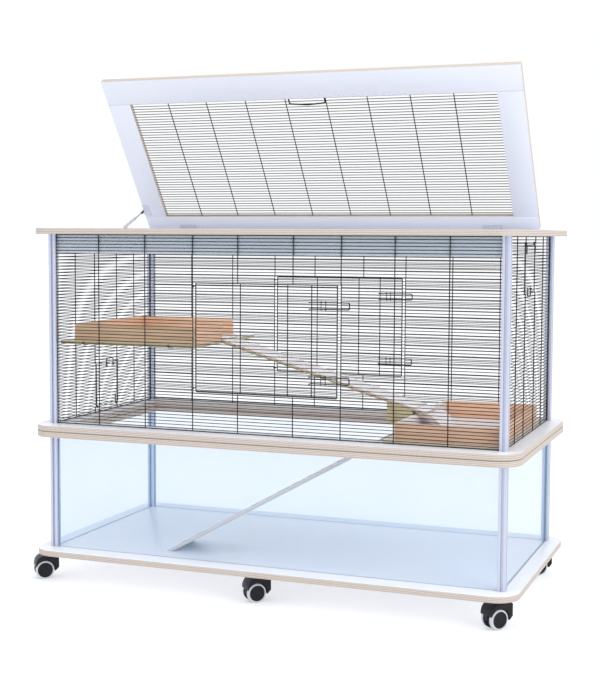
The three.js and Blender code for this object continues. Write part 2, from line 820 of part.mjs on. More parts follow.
function handleEars() {
  const bore = handleWire / 2 + runningGap;
  const half = earSize.depth / 2;
  return [-1, 1].map((side) => {
    const [x0, x1] = [handleEnd, handleEnd + earSize.width].map((x) => x * side).sort((a, b) => a - b);
    const ear = block(
      [x0, handlePivotY - half, lidTop - 1],
      [x1, handlePivotY + half, lidTop + earSize.height],
    );
    const hole = rod([x0 - 1, handlePivotY, handlePivotZ], [x1 + 1, handlePivotY, handlePivotZ],
      bore, 12);
    return ear.subtract(hole);
  });
}

function lidHandle() {
  const end = handleEnd + earSize.width + 1;
  const leg = handleSpan / 2;
  const corner = handlePivotY + handleDrop - handleBow;
  const z = handlePivotZ;
  const solid = bentWireSolid(
    [[-end, handlePivotY, z], [-leg, handlePivotY, z], [-leg, corner, z],
      [0, corner + handleBow, z], [leg, corner, z], [leg, handlePivotY, z],
      [end, handlePivotY, z]],
    handleWire,
    handleWire,
  );
  return meshOf("lid_handle", solid, "blackWire");
}

// ---------------------------------------------------------------- lid hinges
const knuckleGap = seatGap;

function hingeSpan(side) {
  const outer = side * (lidHalf - hingeEndMargin);
  const inner = outer - side * hingeLength;
  return [Math.min(inner, outer), Math.max(inner, outer)];
}

function lidHingeRecess(side) {
  const [x0, x1] = hingeSpan(side);
  return block(
    [x0 - seatGap, lidBack - hingeLeafDepth - seatGap, lidUnder - 1],
    [x1 + seatGap, lidBack + 1, recessTop],
  );
}

function plateHingeRecess(side) {
  const [x0, x1] = hingeSpan(side);
  const axis = lidBackEdge + barrelSetback;
  const reach = barrelRadius + grooveGap;
  const leaf = block(
    [x0 - seatGap, axis, plateThickness - recessTop],
    [x1 + seatGap, axis + barrelSetback + hingeLeafDepth + seatGap, plateThickness + 1],
  );
  const barrel = block(
    [x0 - seatGap, axis - reach, plateThickness - reach],
    [x1 + seatGap, axis + reach, plateThickness + 1],
  );
  return leaf.add(barrel);
}

function knuckle(x0, x1) {
  return rod([x0, 0, 0], [x1, 0, 0], barrelRadius, 12);
}

function plateLeaf(side) {
  const [x0, x1] = hingeSpan(side);
  const back = barrelSetback + hingeLeafDepth;
  const leaf = block([x0, 0, -leafBottom - leafThickness], [x1, back, -leafBottom]);
  const gapCut = block(
    [x0 + outerKnuckle, -1, -barrelSetback],
    [x1 - outerKnuckle, barrelRadius + runningGap, barrelSetback],
  );
  return join([leaf.subtract(gapCut), knuckle(x0, x0 + outerKnuckle),
    knuckle(x1 - outerKnuckle, x1), rod([x0, 0, 0], [x1, 0, 0], hingePinRadius, 10)]);
}

function lidLeaf(side) {
  const [x0, x1] = hingeSpan(side);
  const front = lidBack - hingeLeafDepth;
  const inner = [x0 + outerKnuckle + knuckleGap, x1 - outerKnuckle - knuckleGap];
  const leaf = block([x0, front, leafBottom], [x1, lidBack, leafBottom + leafThickness]);
  const tongue = block([inner[0], lidBack - 1, leafBottom],
    [inner[1], 0, leafBottom + leafThickness]);
  const bore = rod([x0, 0, 0], [x1, 0, 0], hingePinRadius + runningGap, 12);
  return join([leaf, tongue, knuckle(...inner)]).subtract(bore);
}

// ---------------------------------------------------------------- gas strut
const strutPlaneX = -(lidHalf + strutClearX + strutBracketThickness + seatGap + strutEye.width / 2);
const hingeAxis = new THREE.Vector3(0, lidBackEdge + barrelSetback, topFace);
const openTurn = -radians(lidOpenAngle);

function lidPivotOpen() {
  const pivot = new THREE.Vector3(0, -strutLidReach, strutPivotHeight);
  return pivot.applyAxisAngle(new THREE.Vector3(1, 0, 0), openTurn).add(hingeAxis);
}

const strutBase = new THREE.Vector3(0, strutBaseY, topFace + strutPivotHeight);
const strutLine = lidPivotOpen().sub(strutBase);
const strutLength = strutLine.length();
const strutTilt = Math.atan2(strutLine.z, strutLine.y);

// An eye along X with its bore, centred on the strut's line at the given distance.
function eye(distance) {
  const half = strutEye.width / 2;
  return rod([-half, distance, 0], [half, distance, 0], strutEye.radius, 14);
}

function eyeBore(distance) {
  const reach = strutEye.width;
  return rod([-reach, distance, 0], [reach, distance, 0], strutEye.pinRadius + runningGap, 12);
}

function strutCylinder() {
  const shell = rod([0, strutEye.radius - 1, 0], [0, strutCylinderLength, 0], strutCylinderRadius, 16);
  const bore = rod([0, strutEye.radius * 2, 0], [0, strutCylinderLength + 1, 0],
    strutRodRadius + runningGap, 12);
  return shell.subtract(bore).add(eye(0)).subtract(eyeBore(0));
}

function strutRod() {
  const shaft = rod([0, strutCylinderLength - strutRodInside, 0],
    [0, strutLength - strutEye.radius + 1, 0], strutRodRadius, 12);
  return shaft.add(eye(strutLength)).subtract(eyeBore(strutLength));
}

function strutBaseBracket() {
  const inner = strutPlaneX + strutCylinderRadius + seatGap;
  const outer = strutPlaneX - strutEye.width / 2;
  const half = strutEye.radius + 3;
  const foot = block([outer, strutBaseY - half, topFace],
    [inner + strutBracketThickness, strutBaseY + half, topFace + strutBracketThickness]);
  const cheek = block([inner, strutBaseY - half, topFace],
    [inner + strutBracketThickness, strutBaseY + half, strutBase.z + strutEye.radius]);
  const pin = rod([outer - 1, strutBaseY, strutBase.z], [inner + 1, strutBaseY, strutBase.z],
    strutEye.pinRadius, 12);
  return meshOf("strut_base_bracket", join([foot, cheek, pin]), "steel");
}

function lidBracketSpan() {
  const back = lidBack - lidBracket.back;
  return [back - lidBracket.length, back];
}

function lidBracketRecess() {
  const [front, back] = lidBracketSpan();
  return block([-lidHalf - 1, front - seatGap, lidUnder - 1],
    [-lidHalf + lidBracket.foot + seatGap, back + seatGap, recessTop]);
}

// An angle on the lid's left edge. Its boss stops just short of the rod's eye.
function strutLidBracket() {
  const [front, back] = lidBracketSpan();
  const inner = -lidHalf - seatGap;
  const cheek = block([inner - strutBracketThickness, front, leafBottom],
    [inner, back, lidTop - 1]);
  const foot = block([inner - strutBracketThickness, front, leafBottom],
    [-lidHalf + lidBracket.foot, back, leafBottom + leafThickness]);
  const boss = rod([strutPlaneX + strutEye.width / 2 + seatGap, -strutLidReach, strutPivotHeight],
    [inner - strutBracketThickness / 2, -strutLidReach, strutPivotHeight], strutEye.radius, 12);
  return join([cheek, foot, boss]);
}

function strut() {
  const group = new THREE.Group();
  group.position.set(strutPlaneX, strutBase.y, strutBase.z);
  group.rotation.x = strutTilt;
  group.add(
    meshOf("strut_cylinder", strutCylinder(), "blackPlastic"),
    meshOf("strut_rod", strutRod(), "steel"),
  );
  return group;
}

function lidAssembly() {
  const lid = new THREE.Group();
  lid.position.copy(hingeAxis);
  lid.rotation.x = openTurn;
  lid.add(lidFrame(), lidGrille(), lidHandle());
  lid.add(meshOf("strut_lid_bracket", strutLidBracket(), "steel"));
  const leaves = [];
  for (const [name, side] of [["left", -1], ["right", 1]]) {
    lid.add(meshOf(`${name}_hinge_lid_leaf`, lidLeaf(side), "steel"));
    const leaf = meshOf(`${name}_hinge_plate_leaf`, plateLeaf(side), "steel");
    leaf.position.copy(hingeAxis);
    leaves.push(leaf);
  }
  return [lid, ...leaves];
}

// ---------------------------------------------------------------- boards and boxes
const boardFront = -postY + boardEdgeGap;
const boardLeft = -postX + boardEdgeGap;
const shelfTop = cageFloor + shelfUnderside + shelfThickness;
const lowerBoardTop = cageFloor + lowerBoardThickness;

// A tab from a board's edge over a row wire, with a lip down outside it: blocks' corners
// along the edge, out from it and up. The tab is centred on the place along the edge.
function hangingTab(place, edge) {
  const wireHeight = cageFloor + rowHeight(Math.floor((shelfUnderside + shelfThickness / 2
    - rowPhase) / rowPitch));
  const low = wireHeight + rowWire / 2 + seatGap;
  const outside = edge - boardEdgeGap - rowsFront - layerGap;
  const half = hookTab.width / 2;
  return [
    [[place - half, outside - hookTab.lip, low], [place + half, edge + 1, low + hookTab.thickness]],
    [[place - half, outside - hookTab.lip, low - hookTab.drop],
      [place + half, outside, low + hookTab.thickness]],
  ];
}

function upperShelf() {
  const board = block([boardLeft, boardFront, cageFloor + shelfUnderside],
    [shelfRight, shelfBack, shelfTop]);
  const frontTabs = [boardLeft + shelfTabs.fromEnd, shelfRight - shelfTabs.fromRamp]
    .flatMap((x) => hangingTab(x, boardFront))
    .map(([low, high]) => block(low, high));
  const leftTabs = shelfTabs.fromBack
    .flatMap((distance) => hangingTab(shelfBack - distance, boardLeft))
    .map((corners) => block(...corners.map(([along, out, up]) => [out, along, up])));
  return meshOf("upper_shelf_board", join([board, ...frontTabs, ...leftTabs]), "laminate");
}

// Walls on the shelf, open at the back right corner where the ramp comes in.
function upperBoxWalls() {
  const { height, wall: thick, sideEnd } = upperBox;
  const left = boardLeft + upperBox.endGap;
  const right = shelfRight;
  const back = shelfBack - upperBox.backGap;
  const backEnd = right - upperBox.rampGap;
  const outline = polygon([
    [left, boardFront], [right, boardFront], [right, sideEnd], [right - thick, sideEnd],
    [right - thick, boardFront + thick], [left + thick, boardFront + thick],
    [left + thick, back - thick], [backEnd, back - thick], [backEnd, back], [left, back],
  ]);
  return meshOf("upper_box", prism(outline, shelfTop, shelfTop + height), "pine");
}

function lowerBoard() {
  const board = block([lowerBoardLeft, boardFront, cageFloor],
    [-boardLeft, -boardFront, lowerBoardTop]);
  return meshOf("lower_floor_board", board, "laminate");
}

function lowerBoxWalls() {
  const { height, wall: thick } = lowerBox;
  const left = lowerBoardLeft + lowerBox.rampGap;
  const right = -boardLeft - lowerBox.endGap;
  const back = -boardFront - lowerBox.backGap;
  const outline = rectangle(THREE.Shape, left, boardFront, right, back);
  outline.holes.push(
    rectangle(THREE.Path, left + thick, boardFront + thick, right - thick, back - thick),
  );
  return meshOf("lower_box", prism(outline, lowerBoardTop, lowerBoardTop + height), "pine");
}

// ---------------------------------------------------------------- ramps
// A board from (x0, z0) down to the height zEnd, cut upright at its top end. Its lower end is
// cut flat, or upright too.
function rampOutline(x0, z0, slope, zEnd, upright = false) {
  const rise = rampThickness * Math.hypot(1, slope);
  const x1 = x0 + (z0 - zEnd) / slope;
  const tip = upright ? [x1, zEnd + rise] : [x0 + (z0 + rise - zEnd) / slope, zEnd];
  return polygon([[x0, z0], [x0, z0 + rise], tip, [x1, zEnd]]);
}

function rungs(x0, z0, slope, zEnd, front, back) {
  const rise = rampThickness * Math.hypot(1, slope);
  const angle = Math.atan(slope);
  const length = (z0 - zEnd) / Math.sin(angle);
  const count = Math.floor(length / rungPitch);
  const strips = [];
  for (let i = 0; i < count; i += 1) {
    const along = rungPitch * (i + 0.5);
    const geometry = new THREE.BoxGeometry(rungSize.width, back - front, rungSize.height * 2);
    geometry.rotateY(angle);
    geometry.translate(x0 + along * Math.cos(angle), (front + back) / 2,
      z0 + rise - along * Math.sin(angle));
    strips.push(solidOf(geometry));
  }
  return strips;
}

function upperRampBoard() {
  const { front, back, slope, lip, lipThickness } = upperRamp;
  const top = shelfRight + seatGap;
  const start = cageFloor + shelfUnderside;
  const foot = lowerBoardTop + seatGap;
  const wallFace = lowerBoardLeft + lowerBox.rampGap + lowerBox.wall;
  const end = start - (wallFace + upperRamp.over - top) * slope;
  const board = prismAlongY(rampOutline(top, start, slope, end, true), front, back);
  const lipSolid = block([shelfRight - lip, sideClear(front), shelfTop + seatGap],
    [top + lipThickness, back, shelfTop + seatGap + lipThickness]);
  const left = lowerBoardLeft - rampBlock.before;
  const right = lowerBoardLeft + rampBlock.over;
  const low = lowerBoardTop + rampBlock.lift;
  const under = (x) => start - (x - top) * slope;
  const wedge = polygon([
    [left, low], [right, low], [right, under(right) + 1], [left, under(left) + 1],
  ]);
  return meshOf("upper_ramp", join([board, lipSolid,
    prismAlongY(wedge, front, front + rampBlock.width),
    prismAlongY(landingOutline(wallFace + 1.5, foot), front, landing.back),
    ...rungs(top, start, slope, end, front, back)]), "laminate");
}

// A board from beside the box's wall, level at first, then down to the box's floor.
function landingOutline(left, foot) {
  const [bendX, bendZ] = landing.bend;
  const [startZ, underX, underZ, footX] = landing.under;
  return polygon([
    [left, cageFloor + landing.top], [left, cageFloor + startZ],
    [left + underX, cageFloor + underZ], [left + footX, foot],
    [left + landing.foot, foot], [left + bendX, cageFloor + bendZ],
  ]);
}

// The ramp's lip stays clear of the end of the box's side wall.
function sideClear(front) {
  return Math.max(front, upperBox.sideEnd + grooveGap);
}

function lowerRampBoard() {
  const { front, back, slope } = lowerRamp;
  const top = -(lowerBoardLeft - seatGap);
  const start = cageFloor + seatGap;
  const foot = plateTop + seatGap;
  const solid = join([
    prismAlongY(rampOutline(top, start, slope, foot), -back, -front),
    ...rungs(top, start, slope, foot, -back, -front),
  ]);
  const mesh = meshOf("lower_ramp", solid, "laminate");
  mesh.rotation.z = Math.PI;
  return mesh;
}

// ---------------------------------------------------------------- casters
// Drawn with the swivel axis on Z, the wheels' axle along X and the trail along +Y.
function casterHood() {
  const well = wheelRadius + wheelGap;
  const back = casterTrail + wheelRadius;
  const top = hood.height;
  const outline = new THREE.Shape();
  outline.moveTo(-hood.front + hood.chamfer, hood.skirt);
  outline.lineTo(back, hood.skirt);
  outline.lineTo(back, top - hood.crownDrop);
  outline.quadraticCurveTo(back, top, back - hood.crownEnd, top);
  outline.lineTo(-hood.front, top);
  outline.lineTo(-hood.front, hood.skirt + hood.chamfer);
  outline.closePath();
  const profile = new THREE.ExtrudeGeometry(outline, {
    depth: 2 * casterHalfWidth,
    bevelEnabled: false,
    curveSegments: 6,
  });
  profile.translate(0, 0, -casterHalfWidth);
  profile.applyMatrix4(new THREE.Matrix4().makeBasis(
    new THREE.Vector3(0, 1, 0), new THREE.Vector3(0, 0, 1), new THREE.Vector3(1, 0, 0),
  ));
  const axle = [casterTrail, wheelRadius];
  const across = (x0, x1, radius, sides) =>
    rod([x0, ...axle], [x1, ...axle], radius, sides);
  const reach = casterHalfWidth + 1;
  const plateUnder = plateUndersideHeight - seatGap;
  return solidOf(profile)
    .subtract(across(-reach, -webHalfWidth, well, wheelSides))
    .subtract(across(webHalfWidth, reach, well, wheelSides))
    .subtract(across(-reach, reach, axleRadius + runningGap, 12))
    .add(rod([0, 0, top - 2], [0, 0, plateUnder], stemRadius, 18));
}

function wheelPair() {
  const apothem = Math.cos(Math.PI / wheelSides);
  const tread = wheelRadius / apothem;
  const shoulder = tread - wheelBevel;
  const inner = webHalfWidth + runningGap;
  const halfProfile = [[0, casterHalfWidth], [shoulder, casterHalfWidth],
    [tread, casterHalfWidth - wheelBevel], [tread, inner], [axleRadius, inner]];
  const mirrored = halfProfile.map(([radius, across]) => [radius, -across]).reverse();
  const points = [...mirrored.reverse(), ...halfProfile.reverse()];
  const geometry = new THREE.LatheGeometry(
    points.map(([radius, across]) => new THREE.Vector2(radius, across)),
    wheelSides,
    Math.PI / wheelSides,
  );
  geometry.rotateZ(Math.PI / 2);
  geometry.translate(0, casterTrail, wheelRadius);
  return solidOf(geometry);
}

function casters() {
  const rows = [["front", -casterY, frontCasterTurns], ["back", casterY, backCasterTurns]];
  const places = ["left", "middle", "right"];
  return rows.flatMap(([row, y, turns]) =>
    places.map((place, i) => {
      const caster = new THREE.Group();
      caster.position.set(casterX[i], y, 0);
      caster.rotation.z = radians(90 + turns[i]);
      caster.add(
        meshOf(`${row}_${place}_caster_hood`, casterHood(), "blackPlastic"),
        meshOf(`${row}_${place}_caster_wheels`, wheelPair(), "tread"),
      );
      return caster;
    }),
  );
}

// ---------------------------------------------------------------- the whole cage
const cage = new THREE.Group();
cage.add(
  ...plates(),
  headerBoard(),
  ...posts(),
  ...glassPanes(),
  doorWall("front", 1),
  doorWall("back", -1),
  flapWall("left", -1, leftFlapRow, -1),
  flapWall("right", 1, rightFlapRow, 1),
  ...lidAssembly(),
  strutBaseBracket(),
  strut(),
  upperShelf(),
  upperBoxWalls(),
  upperRampBoard(),
  lowerBoard(),
  lowerBoxWalls(),
  lowerRampBoard(),
  ...casters(),
);

// The whole is moved so that the origin is the middle of its outline.
const outlineBox = new THREE.Box3().setFromObject(cage, true);
const outlineMiddle = outlineBox.getCenter(new THREE.Vector3());
cage.position.set(-outlineMiddle.x, -outlineMiddle.y, 0);

const group = new THREE.Group();
group.add(cage);
export default group;
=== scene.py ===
"""Looks of a small-animal cage on casters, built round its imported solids.

A glazed lower room and a wire upper room stand between plywood plates on grooved posts.
The wires, boards, boxes, ramps, fittings and casters are made here as full meshes, and each
rides on the body of the solid that it stands for. Drawings are in millimetres in a local
frame; the scene is in metres.
"""

from __future__ import annotations

import json
import logging
import math
from collections.abc import Callable, Iterable, Sequence
from dataclasses import dataclass, field
from enum import Enum

import bmesh
import bpy
from mathutils import Matrix, Vector
from mathutils.geometry import tessellate_polygon


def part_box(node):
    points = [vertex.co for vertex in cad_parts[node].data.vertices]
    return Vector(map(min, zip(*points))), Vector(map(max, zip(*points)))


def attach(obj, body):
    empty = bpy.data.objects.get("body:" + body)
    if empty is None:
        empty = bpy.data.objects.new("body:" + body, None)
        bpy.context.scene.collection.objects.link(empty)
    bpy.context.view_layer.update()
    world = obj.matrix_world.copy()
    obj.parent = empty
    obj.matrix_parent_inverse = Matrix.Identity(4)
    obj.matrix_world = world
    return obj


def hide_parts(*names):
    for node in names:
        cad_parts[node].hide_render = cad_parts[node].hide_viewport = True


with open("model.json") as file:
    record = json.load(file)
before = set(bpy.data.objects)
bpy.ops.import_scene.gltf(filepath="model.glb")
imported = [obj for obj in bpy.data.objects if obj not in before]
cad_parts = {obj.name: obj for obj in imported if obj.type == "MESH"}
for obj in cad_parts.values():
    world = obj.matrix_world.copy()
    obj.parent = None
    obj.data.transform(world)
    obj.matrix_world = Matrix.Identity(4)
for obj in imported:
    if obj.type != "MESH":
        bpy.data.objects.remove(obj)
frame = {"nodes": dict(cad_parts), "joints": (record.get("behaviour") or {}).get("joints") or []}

LOG = logging.getLogger("cage")
MM = 0.001
Point = tuple[float, float, float]
Flat = tuple[float, float]


class Slot(Enum):
    """The record's material slots."""

    PLYWOOD = "plywood"
    LAMINATE = "laminate_board"
    PINE = "pine"
    POST = "post_aluminium"
    WIRE = "black_wire"
    STEEL = "hinge_steel"
    PLASTIC = "black_plastic"
    TREAD = "caster_tread"


class Axis(Enum):
    """A direction of the row frame."""

    X = (1.0, 0.0, 0.0)
    Y = (0.0, 1.0, 0.0)
    Z = (0.0, 0.0, 1.0)


def srgb(red: float, green: float, blue: float) -> tuple[float, float, float, float]:
    """Turns a display colour of 0 to 255 a channel into the scene's linear one."""
    linear = [((c / 255 + 0.055) / 1.055) ** 2.4 if c > 10 else c / 255 / 12.92
              for c in (red, green, blue)]
    return (*linear, 1.0)


# ------------------------------------------------------------------ shader expressions
class Signal:
    """A node's output that takes part in arithmetic: each operator adds a Math node."""

    def __init__(self, graph: Graph, socket: bpy.types.NodeSocket) -> None:
        """Keeps the graph and the socket that the expression stands for."""
        self.graph = graph
        self.socket = socket

    def _math(self, operation: str, first: Term, second: Term = 0.0) -> Signal:
        """Adds one Math node."""
        return self.graph.add("ShaderNodeMath", {"operation": operation}, {0: first, 1: second})

    def __add__(self, other: Term) -> Signal:
        """Sum."""
        return self._math("ADD", self, other)

    __radd__ = __add__

    def __sub__(self, other: Term) -> Signal:
        """Difference."""
        return self._math("SUBTRACT", self, other)

    def __rsub__(self, other: Term) -> Signal:
        """Difference from a number."""
        return self._math("SUBTRACT", other, self)

    def __mul__(self, other: Term) -> Signal:
        """Product."""
        return self._math("MULTIPLY", self, other)

    __rmul__ = __mul__

    def __truediv__(self, other: Term) -> Signal:
        """Quotient."""
        return self._math("DIVIDE", self, other)

    def __rtruediv__(self, other: Term) -> Signal:
        """A number divided by the value."""
        return self._math("DIVIDE", other, self)

    def __pow__(self, other: Term) -> Signal:
        """Power."""
        return self._math("POWER", self, other)

    def __abs__(self) -> Signal:
        """Size without sign."""
        return self._math("ABSOLUTE", self)

    def wave(self) -> Signal:
        """A triangle wave of period two between nought and one."""
        return self._math("PINGPONG", self, 1.0)

    def step(self, low: float, high: float) -> Signal:
        """Rises smoothly from nought at low to one at high."""
        return self.graph.add("ShaderNodeMapRange", {"interpolation_type": "SMOOTHSTEP"},
                              {"Value": self, "From Min": low, "From Max": high})


Term = Signal | float


class Graph:
    """One material's nodes, round its Principled shader."""

    def __init__(self, name: str) -> None:
        """Makes the material.

        Args:
            name: the material's name.
        """
        self.material = bpy.data.materials.new(name)
        self.material.use_nodes = True
        self.tree = self.material.node_tree
        self.shader = self.tree.nodes["Principled BSDF"]

    def add(self, kind: str, settings: dict | None = None, inputs: dict | None = None,
            output: int | str = 0) -> Signal:
        """Adds a node.

        Args:
            kind: the node's type.
            settings: its properties, or "stops" for a colour ramp's list of (place, colour).
            inputs: values or signals by the socket's name or number.
            output: which output the result stands for.

        Returns:
            The chosen output.
        """
        node = self.tree.nodes.new(kind)
        for name, value in (settings or {}).items():
            if name == "stops":
                self._set_stops(node.color_ramp, value)
            else:
                setattr(node, name, value)
        for name, value in (inputs or {}).items():
            self.feed(node.inputs[name], value)
        return Signal(self, node.outputs[output])

    def _set_stops(self, ramp: bpy.types.ColorRamp, stops: Sequence[tuple[float, tuple]]) -> None:
        """Gives a colour ramp its stops."""
        while len(ramp.elements) < len(stops):
            ramp.elements.new(0.5)
        for element, (place, colour) in zip(ramp.elements, stops):
            element.position, element.color = place, colour

    def feed(self, socket: bpy.types.NodeSocket, value: Term | tuple) -> None:
        """Links a signal to a socket, or sets the socket's own value."""
        if isinstance(value, Signal):
            self.tree.links.new(value.socket, socket)
        else:
            socket.default_value = value

    def point(self) -> Signal:
        """The place on the piece, in metres of the row frame at rest."""
        return self.add("ShaderNodeTexCoord", output="Object")

    def facing(self, direction: Point) -> Signal:
        """How squarely the surface faces along a direction of the piece, from 0 to 1."""
        normal = self.add("ShaderNodeTexCoord", output="Normal")
        return abs(self.along(normal, direction))

    def along(self, vector: Signal, direction: Point) -> Signal:
        """The part of a vector along a direction."""
        return self.add("ShaderNodeVectorMath", {"operation": "DOT_PRODUCT"},
                        {0: vector, 1: direction}, "Value")

    def scaled(self, vector: Signal, factors: Point) -> Signal:
        """A vector with each part multiplied."""
        return self.add("ShaderNodeVectorMath", {"operation": "MULTIPLY"}, {0: vector, 1: factors})

    def noise(self, vector: Signal, scale: float, detail: float = 3.0,
              roughness: float = 0.5) -> Signal:
        """Cloudy noise between 0 and 1."""
        return self.add("ShaderNodeTexNoise", {}, {"Vector": vector, "Scale": scale,
                                                   "Detail": detail, "Roughness": roughness})

    def blend(self, factor: Term, first: Term | tuple, second: Term | tuple) -> Signal:
        """Mixes two colours."""
        return self.add("ShaderNodeMix", {"data_type": "RGBA", "clamp_factor": True},
                        {0: factor, 6: first, 7: second}, 2)

    def bump(self, height: Signal, depth: float, strength: float = 1.0) -> None:
        """Puts relief of the given depth in metres on the surface."""
        relief = self.add("ShaderNodeBump", {}, {"Height": height, "Distance": depth,
                                                 "Strength": strength})
        self.feed(self.shader.inputs["Normal"], relief)

    def dress(self, **parts: Term | tuple) -> None:
        """Feeds the shader's sockets: words are joined with underscores and put in capitals."""
        for name, value in parts.items():
            self.feed(self.shader.inputs[name.replace("_", " ").title()
                                         .replace("Ior", "IOR")], value)


# ------------------------------------------------------------------ finishes
@dataclass(frozen=True)
class Finish:
    """A finish that a material is made from."""

    name: str

    def paint(self, graph: Graph) -> None:
        """Fills the material's nodes."""
        raise NotImplementedError

    def material(self) -> bpy.types.Material:
        """The finish's one material, made when it is first asked for."""
        made = bpy.data.materials.get(self.name)
        if made is None:
            graph = Graph(self.name)
            self.paint(graph)
            made = graph.material
        return made


@dataclass(frozen=True)
class BoardStock(Finish):
    """White-faced birch plywood: film on both faces, bare plies on the edges."""

    up: Point = Axis.Z.value
    underside: float = 0.0  # place of the underside along up, in metres
    ply: float = 2.14 * MM
    face: tuple = srgb(243, 244, 250)
    pale: tuple = srgb(206, 197, 189)
    dark: tuple = srgb(171, 156, 144)
    joint: float = -1.0  # place along up of the painted shade line in the crease where it meets another board
    edge: Point | None = None  # where given, only what faces this way is a bare edge

    def paint(self, graph: Graph) -> None:
        """Film colour on the faces, alternate plies with fibres on the edges."""
        place = graph.point()
        waver = graph.noise(place, 14.0, 2.0) - 0.5
        height = (graph.along(place, self.up) - self.underside) / self.ply + waver * 0.7
        layer = (height.wave() - 0.5) * 2.4
        shade = (layer * 0.5 + 0.5).step(0.15, 0.85)
        fibre = graph.noise(graph.scaled(place, (520.0, 520.0, 60.0)), 1.0, 4.0, 0.65)
        speck = graph.noise(place, 2400.0, 1.0)
        edge = graph.blend(shade * 0.85 + (fibre - 0.5) * 0.9, self.pale, self.dark)
        edge = graph.blend((speck - 0.62).step(0.0, 0.12) * shade * 0.5, edge, srgb(140, 118, 98))
        # Painted shade: a dark line along the crease where this board meets another.
        if self.joint > 0:
            off = abs(graph.along(place, self.up) - self.joint)
            edge = graph.blend((1.5 * MM - off).step(0.0, 0.6 * MM) * 0.8, edge, srgb(96, 84, 76))
        cloud = graph.noise(place, 3.1, 4.0)
        film = graph.blend(cloud * 0.5, self.face, srgb(232, 235, 242))
        scuff = graph.noise(graph.scaled(place, (9.0, 70.0, 9.0)), 1.0, 5.0, 0.7)
        if self.edge is None:
            is_face = graph.facing(self.up).step(0.72, 0.9)
        else:
            is_face = 1 - graph.facing(self.edge).step(0.6, 0.8)
        graph.dress(base_color=graph.blend(is_face, edge, film),
                    roughness=(0.68 - is_face * 0.34) + (scuff - 0.5) * 0.16)
        grain = fibre * (1 - is_face) * 0.8 + shade * (1 - is_face) * 0.5
        graph.bump(grain + graph.noise(place, 900.0, 2.0) * is_face * 0.12, 0.25 * MM, 0.55)
        graph.shader.inputs["Coat Weight"].default_value = 0.08


@dataclass(frozen=True)
class Timber(Finish):
    """Planed wood with its grain along one direction."""

    grain: Point = Axis.X.value
    early: tuple = srgb(236, 204, 178)
    late: tuple = srgb(208, 164, 134)
    knots: float = 1.0
    growth: float = 130.0  # rings to the metre across the grain

    def paint(self, graph: Graph) -> None:
        """Growth rings stretched along the grain, with fibres and a few knots."""
        place = graph.point()
        squeeze = tuple(1.0 - 0.93 * abs(part) for part in self.grain)
        stretched = graph.scaled(place, squeeze)
        bend = graph.noise(stretched, 9.0, 3.0)
        across = (graph.along(stretched, (0.31, 0.43, 0.87)) * self.growth + bend * 7.0)
        ring = across.wave() ** 1.7
        fibre = graph.noise(graph.scaled(place, tuple(900.0 - 850.0 * abs(part)
                                                     for part in self.grain)), 1.0, 4.0, 0.6)
        tone = graph.noise(place, 6.0, 2.0)
        colour = graph.blend(ring * 0.75 + (fibre - 0.5) * 0.5, self.early, self.late)
        colour = graph.blend((tone - 0.45) * 0.9, colour, srgb(200, 156, 124))
        cells = graph.add("ShaderNodeTexVoronoi", {"feature": "F1"},
                          {"Vector": graph.scaled(place, tuple(1.0 - 0.45 * abs(part)
                                                              for part in self.grain)),
                           "Scale": 9.5}, "Distance")
        knot = (0.075 - cells).step(0.0, 0.05) * self.knots
        colour = graph.blend(knot * 0.8, colour, srgb(132, 84, 48))
        graph.dress(base_color=colour, roughness=0.5 + ring * 0.12 + (fibre - 0.5) * 0.2)
        graph.bump(fibre * 0.6 + ring * 0.5 - knot * 0.4, 0.2 * MM, 0.6)


@dataclass(frozen=True)
class Anodised(Finish):
    """Drawn and anodised aluminium, with die lines along the post."""

    tint: tuple = srgb(200, 205, 222)

    def paint(self, graph: Graph) -> None:
        """Fine lines along the length, with faint handling marks."""
        place = graph.point()
        lines = graph.noise(graph.scaled(place, (2600.0, 2600.0, 4.0)), 1.0, 3.0)
        marks = graph.noise(graph.scaled(place, (40.0, 40.0, 9.0)), 1.0, 4.0)
        graph.dress(base_color=graph.blend((lines - 0.4) * 0.5, self.tint, srgb(176, 182, 202)),
                    roughness=0.38 + (lines - 0.5) * 0.14 + (marks - 0.5) * 0.1)
        graph.shader.inputs["Metallic"].default_value = 0.6
        graph.bump(lines, 0.04 * MM, 0.5)


@dataclass(frozen=True)
class Metal(Finish):
    """Bright or dull steel."""

    tint: tuple = srgb(196, 199, 204)
    roughness: float = 0.28
    metallic: float = 0.95

    def paint(self, graph: Graph) -> None:
        """Zinc bloom and light rubbing."""
        place = graph.point()
        bloom = graph.noise(place, 160.0, 4.0)
        rub = graph.noise(graph.scaled(place, (90.0, 900.0, 900.0)), 1.0, 3.0)
        graph.dress(base_color=graph.blend((bloom - 0.4) * 0.7, self.tint, srgb(150, 152, 158)),
                    roughness=self.roughness + (rub - 0.5) * 0.16)
        graph.shader.inputs["Metallic"].default_value = self.metallic
        graph.bump(rub + bloom * 0.4, 0.03 * MM, 0.5)


@dataclass(frozen=True)
class CoatedWire(Finish):
    """Black powder coat on steel wire."""

    tint: tuple = srgb(20, 20, 24)

    def paint(self, graph: Graph) -> None:
        """A pebbled coat, greyer where it has been rubbed."""
        place = graph.point()
        pebble = graph.noise(place, 3200.0, 2.0)
        rub = graph.noise(place, 24.0, 4.0, 0.6)
        worn = (rub - 0.56).step(0.0, 0.16)
        graph.dress(base_color=graph.blend(worn * 0.4 + pebble * 0.12, self.tint,
                                           srgb(58, 58, 66)),
                    roughness=0.46 + pebble * 0.12 + worn * 0.12)
        graph.shader.inputs["Specular IOR Level"].default_value = 0.3
        graph.bump(pebble, 0.05 * MM, 0.5)


